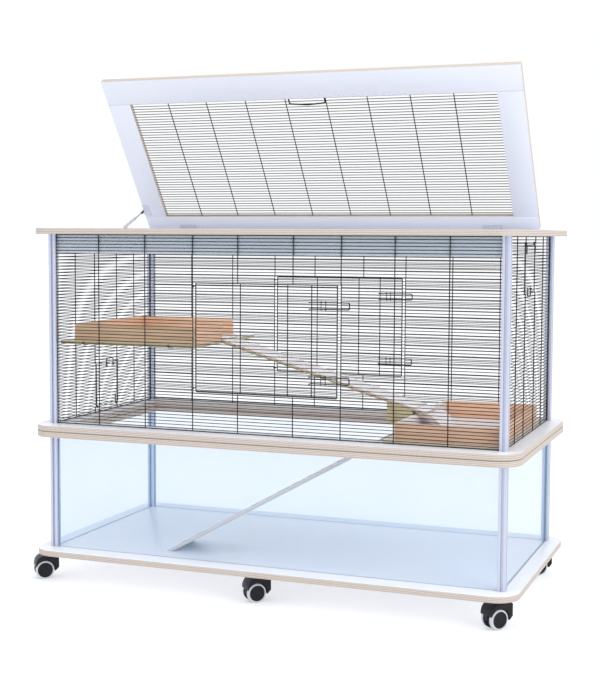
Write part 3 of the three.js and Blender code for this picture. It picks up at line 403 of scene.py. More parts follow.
@dataclass(frozen=True)
class Moulded(Finish):
    """Injection-moulded plastic with a sparked face."""

    tint: tuple = srgb(7, 7, 11)
    worn_tint: tuple = srgb(20, 20, 28)
    roughness: float = 0.4
    specular: float = 0.3

    def paint(self, graph: Graph) -> None:
        """Spark texture, with dust and light scuffs."""
        place = graph.point()
        spark = graph.noise(place, 1900.0, 2.0)
        scuff = graph.noise(graph.scaled(place, (60.0, 60.0, 180.0)), 1.0, 5.0, 0.65)
        worn = (scuff - 0.54).step(0.0, 0.18)
        graph.dress(base_color=graph.blend(worn * 0.55, self.tint, self.worn_tint),
                    roughness=self.roughness + (spark - 0.5) * 0.12 + worn * 0.14)
        graph.shader.inputs["Specular IOR Level"].default_value = self.specular
        graph.bump(spark, 0.06 * MM, 0.5)


@dataclass(frozen=True)
class PaneGlass(Finish):
    """Clear float glass: faint blue on the faces, deeper at the cut edges."""

    outward: Point = Axis.Y.value

    def paint(self, graph: Graph) -> None:
        """Nearly clear faces with a faint haze, and ground edges."""
        place = graph.point()
        haze = graph.noise(place, 5.0, 4.0)
        wipe = graph.noise(graph.scaled(place, (3.0, 3.0, 40.0)), 1.0, 4.0, 0.7)
        is_face = graph.facing(self.outward).step(0.6, 0.9)
        graph.dress(base_color=graph.blend(is_face, srgb(140, 190, 200), srgb(140, 198, 244)),
                    alpha=(0.6 - is_face * 0.5) + (haze - 0.5) * 0.03 * is_face,
                    roughness=0.02 + (wipe - 0.45).step(0.0, 0.4) * 0.05 + (1 - is_face) * 0.3)
        graph.shader.inputs["IOR"].default_value = 1.5
        graph.bump(wipe, 0.01 * MM, 0.15)


@dataclass(frozen=True)
class StudioFloor(Finish):
    """The pale floor of the studio."""

    tint: tuple = srgb(206, 207, 209)
    glow: float = 0.42

    def paint(self, graph: Graph) -> None:
        """Even white paper with a trace of tooth."""
        tooth = graph.noise(graph.point(), 60.0, 2.0)
        graph.dress(base_color=graph.blend(tooth * 0.3, self.tint, srgb(202, 203, 206)),
                    roughness=0.85)
        graph.shader.inputs["Emission Color"].default_value = (1.0, 1.0, 1.0, 1.0)
        graph.shader.inputs["Emission Strength"].default_value = self.glow


WIRE = CoatedWire("black_powder_coat")
STEEL = Metal("zinc_steel")
DARK_STEEL = Metal("dark_fitting_steel", srgb(74, 76, 82), 0.34, 0.8)
SILVER = Metal("satin_silver", srgb(214, 217, 222), 0.36, 0.6)
PALE_STEEL = Metal("pale_painted_steel", srgb(206, 210, 224), 0.45, 0.1)
ALUMINIUM = Anodised("anodised_post")
HOOD_PLASTIC = Moulded("caster_hood_plastic")
HUB_PLASTIC = Moulded("caster_hub_plastic", srgb(12, 12, 17), srgb(26, 26, 34), 0.5)
TREAD_RUBBER = Moulded("caster_tread_rubber", srgb(196, 200, 210), srgb(168, 170, 178), 0.6)


# ------------------------------------------------------------------ mesh making
def placement(origin: Iterable[float], across: Iterable[float], up: Iterable[float],
              out: Iterable[float]) -> Matrix:
    """The frame of a drawing in millimetres.

    Args:
        origin: the drawing's origin in metres of the row frame.
        across: the way of its first number.
        up: the way of its second.
        out: the way of its third.

    Returns:
        The matrix from the drawing to the row frame.
    """
    turn = Matrix([Vector(across), Vector(up), Vector(out)]).transposed().to_4x4()
    return Matrix.Translation(Vector(origin)) @ turn @ Matrix.Scale(MM, 4)


def level_place(x: float = 0.0, y: float = 0.0, z: float = 0.0) -> Matrix:
    """The frame of a drawing that lies level, with its origin in metres."""
    return placement((x, y, z), Axis.X.value, Axis.Y.value, Axis.Z.value)


def arc(radius: float, first: float, turn: float, steps: int, centre: Flat = (0.0, 0.0),
        rise: float | None = None) -> list[Flat]:
    """Points along an arc.

    Args:
        radius: the arc's radius.
        first: the angle in degrees where it starts.
        turn: how far it goes round, in degrees.
        steps: segments in it.
        centre: its middle.
        rise: the second radius where the arc is of an ellipse.

    Returns:
        The points, ends included.
    """
    angles = [math.radians(first + turn * step / steps) for step in range(steps + 1)]
    tall = radius if rise is None else rise
    return [(centre[0] + radius * math.cos(a), centre[1] + tall * math.sin(a)) for a in angles]


def bend(start: Vector, corner: Vector, end: Vector, steps: int) -> list[Vector]:
    """A smooth curve from start to end that leans to the corner."""
    shares = [step / steps for step in range(steps + 1)]
    return [start * (1 - t) ** 2 + corner * 2 * t * (1 - t) + end * t * t for t in shares]


def rounded_path(corners: Sequence[Point], radius: float, steps: int = 6) -> list[Vector]:
    """A wire's line through corners, each bent to a radius.

    Args:
        corners: the line's ends and corners.
        radius: the bend's length from its corner on each side.
        steps: segments in each bend.

    Returns:
        The points of the bent line.
    """
    points = [Vector(corner) for corner in corners]
    path = [points[0]]
    for before, corner, after in zip(points, points[1:], points[2:]):
        start = corner + (before - corner).normalized() * radius
        end = corner + (after - corner).normalized() * radius
        path += bend(start, corner, end, steps)
    path.append(points[-1])
    return path


def rounded_loop(left: float, bottom: float, right: float, top: float, radius: float,
                 depth: float, steps: int = 5) -> list[Vector]:
    """A closed rectangle of wire with round corners, in the plane at a depth."""
    points = []
    centres = [(right - radius, bottom + radius, -90), (right - radius, top - radius, 0),
               (left + radius, top - radius, 90), (left + radius, bottom + radius, 180)]
    for x, y, start in centres:
        points += [Vector((*point, depth)) for point in arc(radius, start, 90, steps, (x, y))]
    return points


class Former:
    """Gathers the vertices and faces of one piece, drawn in millimetres."""

    def __init__(self, place: Matrix) -> None:
        """Starts a piece in a drawing's frame."""
        self.place = place
        self.points: list[Vector] = []
        self.faces: list[tuple[int, ...]] = []

    def add_ring(self, points: Iterable[Vector]) -> list[int]:
        """Adds points and gives their numbers."""
        first = len(self.points)
        self.points.extend(self.place @ Vector(point) for point in points)
        return list(range(first, len(self.points)))

    def bridge(self, first: Sequence[int], second: Sequence[int]) -> None:
        """Joins two closed rings of as many points with quads."""
        count = len(first)
        for i in range(count):
            j = (i + 1) % count
            self.faces.append((first[i], first[j], second[j], second[i]))

    def wire(self, path: Sequence[Point], radius: float, sides: int = 8,
             closed: bool = False) -> None:
        """Sweeps a round wire along a line, with slightly domed ends.

        Args:
            path: the wire's middle line.
            radius: the wire's radius.
            sides: faces round the wire.
            closed: whether the line joins its own start.
        """
        line = [Vector(point) for point in path]
        count = len(line)
        ends = (line[0].copy(), line[-1].copy())
        if not closed:
            dome = 0.35 * radius
            line[0] = line[0] + (line[1] - line[0]).normalized() * dome
            line[-1] = line[-1] + (line[-2] - line[-1]).normalized() * dome
        side = Vector((0, 0, 0))
        rings: list[list[int]] = []
        first_tip: tuple[Vector, Vector] | None = None
        other = side
        for i, point in enumerate(line):
            before = line[i - 1] if closed or i else line[0]
            after = line[(i + 1) % count] if closed or i < count - 1 else line[-1]
            tangent = (after - before).normalized()
            if not rings:
                side = tangent.orthogonal()
            side = (side - tangent * side.dot(tangent)).normalized()
            other = tangent.cross(side)
            if first_tip is None:
                first_tip = (side, other)
            rings.append(self.add_ring(self._circle(point, side, other, radius, sides)))
        for first, second in zip(rings, rings[1:]):
            self.bridge(first, second)
        if closed:
            self.bridge(rings[-1], rings[0])
            return
        for end, ring, (u, v) in ((ends[0], rings[0], first_tip), (ends[1], rings[-1],
                                                                    (side, other))):
            tip = self.add_ring(self._circle(end, u, v, radius * 0.7, sides))
            self.bridge(ring, tip)
            self.faces.append(tuple(tip))

    @staticmethod
    def _circle(centre: Vector, side: Vector, other: Vector, radius: float,
                sides: int) -> list[Vector]:
        """Points of a circle in the plane of two directions."""
        turns = [2 * math.pi * i / sides for i in range(sides)]
        return [centre + side * (radius * math.cos(t)) + other * (radius * math.sin(t))
                for t in turns]

    def block(self, low: Point, high: Point) -> None:
        """Adds a block between two corners."""
        (x0, y0, z0), (x1, y1, z1) = low, high
        lower = self.add_ring([Vector((x0, y0, z0)), Vector((x1, y0, z0)), Vector((x1, y1, z0)),
                               Vector((x0, y1, z0))])
        upper = self.add_ring([Vector((x0, y0, z1)), Vector((x1, y0, z1)), Vector((x1, y1, z1)),
                               Vector((x0, y1, z1))])
        self.bridge(lower, upper)
        self.faces += [tuple(reversed(lower)), tuple(upper)]

    def extrude(self, loops: Sequence[Sequence[Flat]], low: float, high: float,
                lift: Callable[[float, float, float], Point] = lambda x, y, h: (x, y, h)) -> None:
        """Extrudes an outline with holes.

        Args:
            loops: the outline, then its holes, as points in the plane.
            low: where the extrusion starts.
            high: where it ends.
            lift: puts a point of the plane and a height into the drawing.
        """
        rings = []
        for height in (low, high):
            rings.append([self.add_ring([Vector(lift(x, y, height)) for x, y in loop])
                          for loop in loops])
        for lower, upper in zip(*rings):
            self.bridge(lower, upper)
        if len(loops) == 1:
            self.faces += [tuple(rings[0][0]), tuple(reversed(rings[1][0]))]
            return
        caps = tessellate_polygon([[Vector((x, y, 0)) for x, y in loop] for loop in loops])
        for level in rings:
            numbers = [number for ring in level for number in ring]
            self.faces += [tuple(numbers[i] for i in face) for face in caps]

    def lathe(self, profile: Sequence[Flat], origin: Point, axis: Point, sides: int = 32,
              closed: bool = False) -> None:
        """Turns a profile about an axis.

        Args:
            profile: pairs of radius and distance along the axis.
            origin: a point on the axis.
            axis: the axis.
            sides: faces round the axis.
            closed: whether the profile joins its own start; if not, its ends are capped.
        """
        way = Vector(axis).normalized()
        side = way.orthogonal().normalized()
        other = way.cross(side)
        rings = [self.add_ring(self._circle(Vector(origin) + way * distance, side, other, radius,
                                            sides)) for radius, distance in profile]
        for first, second in zip(rings, rings[1:]):
            self.bridge(first, second)
        if closed:
            self.bridge(rings[-1], rings[0])
        else:
            self.faces += [tuple(rings[0]), tuple(rings[-1])]

    def mesh(self, name: str) -> bpy.types.Mesh:
        """The gathered mesh with its faces turned outward."""
        mesh = bpy.data.meshes.new(name)
        mesh.from_pydata(self.points, [], self.faces)
        work = bmesh.new()
        work.from_mesh(mesh)
        bmesh.ops.recalc_face_normals(work, faces=work.faces)
        work.to_mesh(mesh)
        work.free()
        return mesh


@dataclass
class Workshop:
    """Makes pieces, sets them on bodies, and keeps count."""

    made: list[str] = field(default_factory=list)

    def piece(self, name: str, former: Former, finish: Finish, body: str,
              replaces: Sequence[str] = (), bevel: float = 0.0, rings: int = 2,
              cutters: Sequence[Former] = (), sharp: float = 38.0) -> bpy.types.Object:
        """Turns a gathered mesh into a piece of the object.

        Args:
            name: the piece's name.
            former: its mesh.
            finish: its material.
            body: the body it rides on.
            replaces: the solids it stands for.
            bevel: the width of its rounded edges in millimetres, or 0.
            rings: segments in those edges.
            cutters: shapes to take out of it, one after another.
            sharp: edges bent more than this many degrees stay sharp.

        Returns:
            The piece.
        """
        mesh = former.mesh(name)
        thing = bpy.data.objects.new(name, mesh)
        bpy.context.scene.collection.objects.link(thing)
        for cutter in cutters:
            self._cut(thing, cutter)
        if bevel:
            self._round(thing, bevel, rings)
        thing.data.shade_smooth()
        thing.data.set_sharp_from_angle(angle=math.radians(sharp))
        thing.data.materials.clear()
        thing.data.materials.append(finish.material())
        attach(thing, body)
        if replaces:
            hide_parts(*replaces)
        self.made.append(name)
        LOG.info("%s: %d faces on %s", name, len(thing.data.polygons), body)
        return thing

    def _cut(self, thing: bpy.types.Object, cutter: Former) -> None:
        """Takes the cutter's shape out of a piece for good."""
        tool = bpy.data.objects.new("cutter", cutter.mesh("cutter"))
        bpy.context.scene.collection.objects.link(tool)
        cut = thing.modifiers.new("cut", "BOOLEAN")
        cut.operation, cut.object, cut.solver = "DIFFERENCE", tool, "EXACT"
        self._apply(thing)
        bpy.data.objects.remove(tool)
        if not thing.data.polygons:
            raise RuntimeError(f"nothing is left of {thing.name}")

    def _round(self, thing: bpy.types.Object, width: float, segments: int) -> None:
        """Rounds a piece's edges for good."""
        bevel = thing.modifiers.new("edges", "BEVEL")
        bevel.width, bevel.segments = width * MM, segments
        bevel.limit_method, bevel.angle_limit = "ANGLE", math.radians(32)
        self._apply(thing)

    @staticmethod
    def _apply(thing: bpy.types.Object) -> None:
        """Keeps what the modifiers make."""
        bpy.context.view_layer.update()
        graph = bpy.context.evaluated_depsgraph_get()
        thing.data = bpy.data.meshes.new_from_object(thing.evaluated_get(graph))
        thing.modifiers.clear()

    def keep(self, node: str, finish: Finish, bevel: float = 0.0) -> None:
        """Dresses a solid that stays, with a finish and softened edges.

        Args:
            node: the solid's name.
            finish: its material.
            bevel: the width of its softened edges in millimetres, or 0.
        """
        thing = frame["nodes"][node]
        thing.data.materials.clear()
        thing.data.materials.append(finish.material())
        if bevel:
            weld = thing.modifiers.new("weld", "WELD")
            weld.merge_threshold = 0.01 * MM
            edges = thing.modifiers.new("edges", "BEVEL")
            edges.width, edges.segments = bevel * MM, 2
            edges.limit_method, edges.angle_limit = "ANGLE", math.radians(40)
        self.made.append(node)


SHOP = Workshop()
BASE_LOW, BASE_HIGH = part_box("base_plate")
FLOOR_LOW, FLOOR_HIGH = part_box("cage_floor_plate")
MIDDLE = (BASE_LOW + BASE_HIGH) / 2  # the plates' middle seen from above
CAGE_FLOOR = FLOOR_HIGH.z


# ------------------------------------------------------------------ wire panels
@dataclass(frozen=True)
class Gauge:
    """Wire sizes and layers, shared by every panel: millimetres outward of the wall's plane."""

    row: float = 1.95
    cross: float = 2.7
    border: float = 2.6
    leaf: float = 3.0
    latch: float = 3.0
    hook: float = 2.4
    row_depth: float = -1.2
    cross_depth: float = 0.95
    border_depth: float = -0.6
    latch_depth: float = -4.15
    pitch: float = 8.4
    phase: float = -1.3

    def height(self, row: float) -> float:
        """A row's height over the cage floor."""
        return self.phase + self.pitch * row


GAUGE = Gauge()


@dataclass
class Wall:
    """One wire wall of the upper room, drawn across, up and outward."""

    name: str
    place: Matrix
    reach: float
    full: tuple[float, ...]
    broken: tuple[float, ...]
    opening: tuple[int, int]  # rows along the opening's lower and upper edges
    bottom: float = 0.3
    top: float = 503.7

    def build(self) -> None:
        """Rows, cross wires, the border and the opening's side wires."""
        former = Former(self.place)
        side = max(self.broken)
        low, high = (GAUGE.height(row) for row in self.opening)
        inset = GAUGE.border / 2
        former.wire(rounded_loop(-self.reach + inset, self.bottom + inset, self.reach - inset,
                                 self.top - inset, 3.0, GAUGE.border_depth), inset, closed=True)
        edge = self.reach - GAUGE.border / 2
        row = 1
        while GAUGE.height(row) + GAUGE.row < self.top - GAUGE.border:
            height = GAUGE.height(row)
            if self.opening[0] < row < self.opening[1]:
                spans = [(-edge, -side), (side, edge)]
            else:
                spans = [(-edge, edge)]
            for x0, x1 in spans:
                former.wire([(x0, height, GAUGE.row_depth), (x1, height, GAUGE.row_depth)],
                            GAUGE.row / 2)
            row += 1
        for x in (value * way for value in self.full for way in (-1, 1)):
            self._upright(former, x, self.bottom + 0.4, self.top - 0.4)
        for x in (value * way for value in self.broken for way in (-1, 1)):
            self._upright(former, x, self.bottom + 0.4, low + GAUGE.row)
            self._upright(former, x, high - GAUGE.row, self.top - 0.4)
        for x in (-side, side):
            former.wire([(x, low, GAUGE.row_depth), (x, high, GAUGE.row_depth)], GAUGE.cross / 2)
        SHOP.piece(f"{self.name}_wall_wires", former, WIRE, "cage",
                   [f"{self.name}_grille"])

    @staticmethod
    def _upright(former: Former, x: float, low: float, high: float) -> None:
        """One cross wire."""
        former.wire([(x, low, GAUGE.cross_depth), (x, high, GAUGE.cross_depth)], GAUGE.cross / 2)


@dataclass
class Leaf:
    """A door or flap: a loop of wire with rows, cross wires and hooks."""

    name: str
    place: Matrix
    left: float
    bottom: float
    right: float
    top: float
    cross: tuple[float, ...] = ()
    rim: float = GAUGE.leaf

    def former(self) -> Former:
        """The leaf's own wires."""
        former = Former(self.place)
        half = self.rim / 2
        former.wire(rounded_loop(self.left + half, self.bottom + half, self.right - half,
                                 self.top - half, 2.4, GAUGE.border_depth, 3), half, 10, True)
        row = 1
        while GAUGE.height(row) + GAUGE.row < self.top - GAUGE.leaf:
            height = GAUGE.height(row)
            if height - GAUGE.row > self.bottom + GAUGE.leaf:
                former.wire([(self.left + half, height, GAUGE.row_depth),
                             (self.right - half, height, GAUGE.row_depth)], GAUGE.row / 2)
            row += 1
        for x in self.cross:
            former.wire([(x, self.bottom + 0.6, GAUGE.cross_depth),
                         (x, self.top - 0.6, GAUGE.cross_depth)], GAUGE.cross / 2)
        return former


def hook(former: Former, centre: Flat, bore: float, end: Flat, upright: bool) -> None:
    """Winds a wire eye round a wall wire, with its tail run to the leaf.

    Args:
        former: the leaf's mesh.
        centre: where the eye is.
        bore: radius of the eye's middle line.
        end: where its tail ends on the leaf.
        upright: whether the wall wire stands up.
    """
    turns, steps, rise = 1.2, 22, 2.6
    x, y = centre
    path: list[Point] = []
    for step in range(steps + 1):
        share = step / steps
        angle = 2 * math.pi * turns * share
        lift = rise * (share - 0.5)
        if upright:
            path.append((x + bore * math.sin(angle), y + lift,
                         GAUGE.row_depth + bore * math.cos(angle)))
        else:
            way = math.copysign(1.0, end[1] - y)
            path.append((x + lift, y + way * bore * math.sin(angle),
                         GAUGE.row_depth + bore * math.cos(angle)))
    path.append((end[0], end[1], GAUGE.border_depth - 0.4))
    former.wire(path, GAUGE.hook / 2, 8)


def staple(former: Former, x: float, y0: float, y1: float, depth: float) -> None:
    """A bent wire that keeps a latch to its leaf: it spans y0 to y1 inside the rows."""
    former.wire(rounded_path([(x, y0, GAUGE.row_depth), (x, y0, depth), (x, y1, depth),
                              (x, y1, GAUGE.row_depth)], 2.2, 4), GAUGE.row / 2)


@dataclass
class DoorWall:
    """A long wall with its hooked door and the door's two latches."""

    name: str
    way: float  # -1 for the front wall, 1 for the back one
    spacing: float = 280.0
    side: float = 200.0
    latch_rows: tuple[tuple[str, int], ...] = (("lower", 16), ("upper", 38))
    latch_reach: float = 20.5  # past the opening's side
    latch_length: float = 100.0

    def build(self) -> None:
        """The wall, the door and its latches."""
        place = placement((MIDDLE.x, self.way * self.spacing * MM, CAGE_FLOOR),
                          Axis.X.value, Axis.Z.value, (0.0, self.way, 0.0))
        Wall(self.name, place, 601.5, (336, 471), (74.5, 200), (12, 46)).build()
        leaf = Leaf(f"{self.name}_door", place, left=-192.75, bottom=101.75, right=191.75,
                    top=382.85, cross=(-67, 60.5, 124))
        former = leaf.former()
        for row in (13.5, 44.5):
            hook(former, (-self.side, GAUGE.height(row)), 2.75,
                 (leaf.left + 1.5, GAUGE.height(row) + 1.5), True)
        for _, row in self.latch_rows:
            for x in (leaf.right - 46, leaf.right - 34):
                staple(former, x, GAUGE.height(row), GAUGE.height(row + 3),
                       GAUGE.latch_depth - (GAUGE.latch + GAUGE.row) / 2 - 0.2)
        SHOP.piece(f"{self.name}_door_wires", former, WIRE, f"{self.name}_door",
                   [f"{self.name}_door"])
        for name, row in self.latch_rows:
            self._latch(place, name, row)

    def _latch(self, place: Matrix, name: str, row: int) -> None:
        """A long U of wire whose ends are bent out as finger pulls."""
        low, high = GAUGE.height(row + 0.5), GAUGE.height(row + 2.5)
        tip = self.side + self.latch_reach
        tail = tip - self.latch_length
        deep, pull = GAUGE.latch_depth, 10.35
        former = Former(place)
        former.wire(rounded_path([(tail, low, pull), (tail, low, deep), (tip, low, deep),
                                  (tip, high, deep), (tail, high, deep), (tail, high, pull)],
                                 4.5), GAUGE.latch / 2, 12)
        node = f"{self.name}_door_{name}_latch"
        SHOP.piece(f"{node}_wire", former, WIRE, node, [node])


@dataclass
class FlapWall:
    """A short wall with its small flap, hung on a row, and the flap's latch."""

    name: str
    way: float  # -1 for the left wall, 1 for the right one
    first_row: int
    hinge: int  # -1 where the flap hangs on the row below it, 1 on the row above
    spacing: float = 607.0
    side: float = 63.0
    rows: int = 15
    half: float = 59.75
    gap: float = 3.25  # between the flap and the rows over and under it
    clip_x: float = 55.0
    clip_length: float = 22.0
    latch_x: float = 12.0
    latch_half: float = 18.5

    def build(self) -> None:
        """The wall, the flap and its latch."""
        place = placement((MIDDLE.x + self.way * self.spacing * MM, 0.0, CAGE_FLOOR),
                          (0.0, self.way, 0.0), Axis.Z.value, (self.way, 0.0, 0.0))
        last = self.first_row + self.rows
        Wall(self.name, place, 274.5, (168,), (self.side,), (self.first_row, last)).build()
        low, high = GAUGE.height(self.first_row), GAUGE.height(last)
        leaf = Leaf(f"{self.name}_flap", place, -self.half, low + self.gap, self.half,
                    high - self.gap, (), GAUGE.row)
        former = leaf.former()
        pivot = low if self.hinge < 0 else high
        near = leaf.bottom + 1.5 if self.hinge < 0 else leaf.top - 1.5
        proud = GAUGE.cross_depth + 0.4
        for x in (-self.clip_x, self.clip_x):
            hook(former, (x, pivot), 2.55, (x + 1.6, near), False)
            former.wire([(x + 1.6, near, proud),
                         (x * 0.96, near - self.hinge * self.clip_length, proud)], 1.6)
        free = leaf.top if self.hinge < 0 else leaf.bottom
        legs = tuple(self.way * self.latch_x + side * self.latch_half for side in (-1, 1))
        level, deep = free + self.hinge * 8.0, GAUGE.latch_depth - 2.7
        for x in legs:
            former.wire(rounded_path([(x - 3.4, level, GAUGE.row_depth), (x - 3.4, level, deep),
                                      (x + 3.4, level, deep),
                                      (x + 3.4, level, GAUGE.row_depth)], 1.6, 4), 0.9)
        node = f"{self.name}_flap"
        SHOP.piece(f"{node}_wires", former, WIRE, node, [node])
        edge = high if self.hinge < 0 else low
        closed, foot = edge - self.hinge * 8, edge + self.hinge * 14
        latch = Former(place)
        deep = GAUGE.latch_depth
        latch.wire(rounded_path([(legs[0], foot, deep), (legs[0], closed, deep),
                                 (legs[1], closed, deep), (legs[1], foot, deep)], 4.5),
                   GAUGE.latch / 2, 12)
        SHOP.piece(f"{node}_latch_wire", latch, WIRE, f"{node}_latch",
                   [f"{node}_latch"])


# ------------------------------------------------------------------ plates, posts, glass
@dataclass
class Plate:
    """A plywood plate with rounded corners, and a hole where it has one."""

    node: str
    hole: tuple[float, float, float, float] | None = None  # left, front, right, back
    corner: float = 60.0
    pockets: tuple[tuple[float, float], ...] = ()  # left and right end of each hinge pocket
    axis: float = 233.6  # hinge axis behind the middle
    joint: float = -1.0  # height over the ground, in metres, of the painted shade line where it meets another

    def build(self) -> None:
        """The plate, with its pockets cut and its edges eased."""
        low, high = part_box(self.node)
        thickness = (high.z - low.z) / MM
        half_x, half_y = (high.x - low.x) / 2 / MM, (high.y - low.y) / 2 / MM
        place = level_place(MIDDLE.x, MIDDLE.y, low.z)
        outline = [(point.x, point.y) for point in
                   rounded_loop(-half_x, -half_y, half_x, half_y, self.corner, 0.0, 20)]
        loops = [outline]
        if self.hole:
            left, front, right, back = self.hole
            loops.append([(left, front), (left, back), (right, back), (right, front)])
        former = Former(place)
        former.extrude(loops, 0.0, thickness)
        step = [(self.axis - 3, thickness - 3), (self.axis + 3, thickness - 3),
                (self.axis + 3, thickness - 2), (self.axis + 17.3, thickness - 2),
                (self.axis + 17.3, thickness + 2), (self.axis - 3, thickness + 2)]
        cutters = []
        for x0, x1 in self.pockets:
            cutters.append(Former(place))
            cutters[-1].extrude([step], x0, x1, lambda y, z, x: (x, y, z))
        finish = BoardStock(f"{self.node}_stock", underside=low.z, joint=self.joint)
        SHOP.piece(f"{self.node}_board", former, finish, "cage", [self.node],
                   1.2, 3, cutters)


@dataclass
class Post:
    """A grooved square post."""

    node: str
    half: float = 10.0
    groove_half: float = 3.0
    groove_depth: float = 5.0
    lip: float = 0.5  # the groove's eased edges
    corner: float = 1.6
    bore: float = 2.6  # radius of the screw channel

    def build(self) -> None:
        """The extruded post, with rounded corners and small lips at its grooves."""
        low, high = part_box(self.node)
        centre = (low + high) / 2
        place = level_place(centre.x, centre.y, low.z)
        section: list[Flat] = []
        floor, lip = self.half - self.groove_depth, self.lip
        side = [(self.half - lip, -self.groove_half), (floor, -self.groove_half),
                (floor, self.groove_half), (self.half - lip, self.groove_half),
                (self.half, self.groove_half + lip)]
        inner = self.half - self.corner
        profile = [(self.half, -self.groove_half - lip), *side,
                   *arc(self.corner, 0, 90, 5, (inner, inner))]
        for turn in range(4):
            c, s = round(math.cos(turn * math.pi / 2)), round(math.sin(turn * math.pi / 2))
            section += [(x * c - y * s, x * s + y * c) for x, y in profile]
        former = Former(place)
        former.extrude([section, arc(self.bore, 0, -330, 11)], 0.0, (high.z - low.z) / MM)
        SHOP.piece(f"{self.node}_profile", former, ALUMINIUM, "cage", [self.node],
                   sharp=25.0)


# ------------------------------------------------------------------ lid
@dataclass
class Lid:
    """The lifting lid: four boards round a wire panel, with hinges, a handle and a strut."""

    turn: float = -54.09
    half: float = 586.5
    back: float = -3.0
    front: float = -501.0
    under: float = 0.3
    top: float = 15.3
    hole_half: float = 519.0
    hole_back: float = -46.0
    hole_front: float = -427.0
    seam: float = 0.35
    cross: tuple[float, ...] = (57.3, 173, 289.5, 405)
    handle_y: float = -431.0
    handle_z: float = 18.0
    handle_bore: float = 2.4
    hinge_x: float = 457.75
    leaf_half: float = 25.75
    pocket_gap: float = 0.3

    def __post_init__(self) -> None:
        """Finds the lid's frame from its hinge."""
        angle = math.radians(self.turn)
        self.y_way = (0.0, math.cos(angle), math.sin(angle))
        self.z_way = (0.0, -math.sin(angle), math.cos(angle))
        hinge = next(joint for joint in frame["joints"] if joint["name"] == "lid_hinge")
        self.origin = Vector((MIDDLE.x, *hinge["pos_m"][1:]))
        self.place = placement(self.origin, Axis.X.value, self.y_way, self.z_way)

    def build(self) -> None:
        """Boards with their pockets, wires and handle."""
        self._boards()
        self._wires()
        self._handle()

    def _finish(self, name: str) -> Finish:
        """Board stock whose plies lie along the lid's own thickness."""
        underside = self.origin.dot(Vector(self.z_way)) + self.under * MM
        # Painted shade: the face film is darker and bluer than the plates' film, for the lid's
        # shaded face.
        return BoardStock(name, up=self.z_way, underside=underside, face=srgb(216, 220, 234))

    def _boards(self) -> None:
        """Two rails the whole length, with the stiles between them."""
        z0, z1, seam = self.under, self.top, self.seam
        finish = self._finish("lid_shaded_stock")
        parts = {
            "lid_back_rail": ((-self.half, self.hole_back, z0), (self.half, self.back, z1)),
            "lid_front_rail": ((-self.half, self.front, z0), (self.half, self.hole_front, z1)),
            "lid_left_stile": ((-self.half, self.hole_front + seam, z0),
                               (-self.hole_half, self.hole_back - seam, z1)),
            "lid_right_stile": ((self.hole_half, self.hole_front + seam, z0),
                                (self.half, self.hole_back - seam, z1)),
        }
        pocket_top, reach = 2.0, self.leaf_half + self.pocket_gap
        spans = [((x - reach, self.back - 14.3, -1), (x + reach, self.back + 1, pocket_top))
                 for x in (-self.hinge_x, self.hinge_x)]
        spans.append(((-self.half - 1, -88.3, -1), (-self.half + 22.3, -51.7, pocket_top)))
        pockets = []
        for low, high in spans:
            pockets.append(Former(self.place))
            pockets[-1].block(low, high)
        cutters = {"lid_back_rail": pockets[:2], "lid_left_stile": pockets[2:]}
        for name, (low, high) in parts.items():
            former = Former(self.place)
            former.block(low, high)
            SHOP.piece(name, former, finish, "lid",
                       ["lid_frame"] if name == "lid_front_rail" else [],
                       0.6, 2, cutters.get(name, ()))

    def _wires(self) -> None:
        """The lid's rows and cross wires, let into the boards."""
        middle = (self.under + self.top) / 2
        place = self.place @ Matrix.Translation((0, 0, middle))
        former = Former(place)
        reach, low, high = 524.5, -432.5, -40.5
        inset = GAUGE.border / 2
        former.wire(rounded_loop(-reach + inset, low + inset, reach - inset, high - inset, 3.0,
                                 GAUGE.border_depth), inset, closed=True)
        row = 1
        while low + GAUGE.pitch * row + GAUGE.row < high - GAUGE.border:
            y = low + GAUGE.pitch * row
            former.wire([(-reach + inset, y, GAUGE.row_depth), (reach - inset, y,
                                                               GAUGE.row_depth)], GAUGE.row / 2)
            row += 1
        for x in (value * way for value in self.cross for way in (-1, 1)):
            former.wire([(x, low + 0.5, GAUGE.cross_depth), (x, high - 0.5, GAUGE.cross_depth)],
                        GAUGE.cross / 2)
        SHOP.piece("lid_wires", former, WIRE, "lid", ["lid_grille"])

    def _handle(self) -> None:
        """The wire bail and its two eared feet."""
        leg, end = 51.0, 59.0
        y, z = self.handle_y, self.handle_z
        former = Former(self.place)
        former.wire(rounded_path([(-end, y, z), (-leg, y, z), (-leg, y + 29, z),
                                  (0, y + 33, z), (leg, y + 29, z), (leg, y, z), (end, y, z)],
                                 4.6, 7), 2.0, 14)
        SHOP.piece("lid_handle_bail", former, WIRE, "lid_handle", ["lid_handle"])
        ears = Former(self.place)
        for side in (-1, 1):
            x0, x1 = sorted((side * 52.6, side * 58.6))
            arch = [(y - 3.5, self.top - 0.8), (y + 3.5, self.top - 0.8)]
            arch += arc(4.2, 0, 180, 10, (y, z + 0.3), 3.4)
            bore = arc(self.handle_bore, 0, -337.5, 15, (y, z))
            ears.extrude([arch, bore], x0, x1, lambda u, v, x: (x, u, v))
        SHOP.piece("lid_handle_ears", ears, DARK_STEEL, "lid")


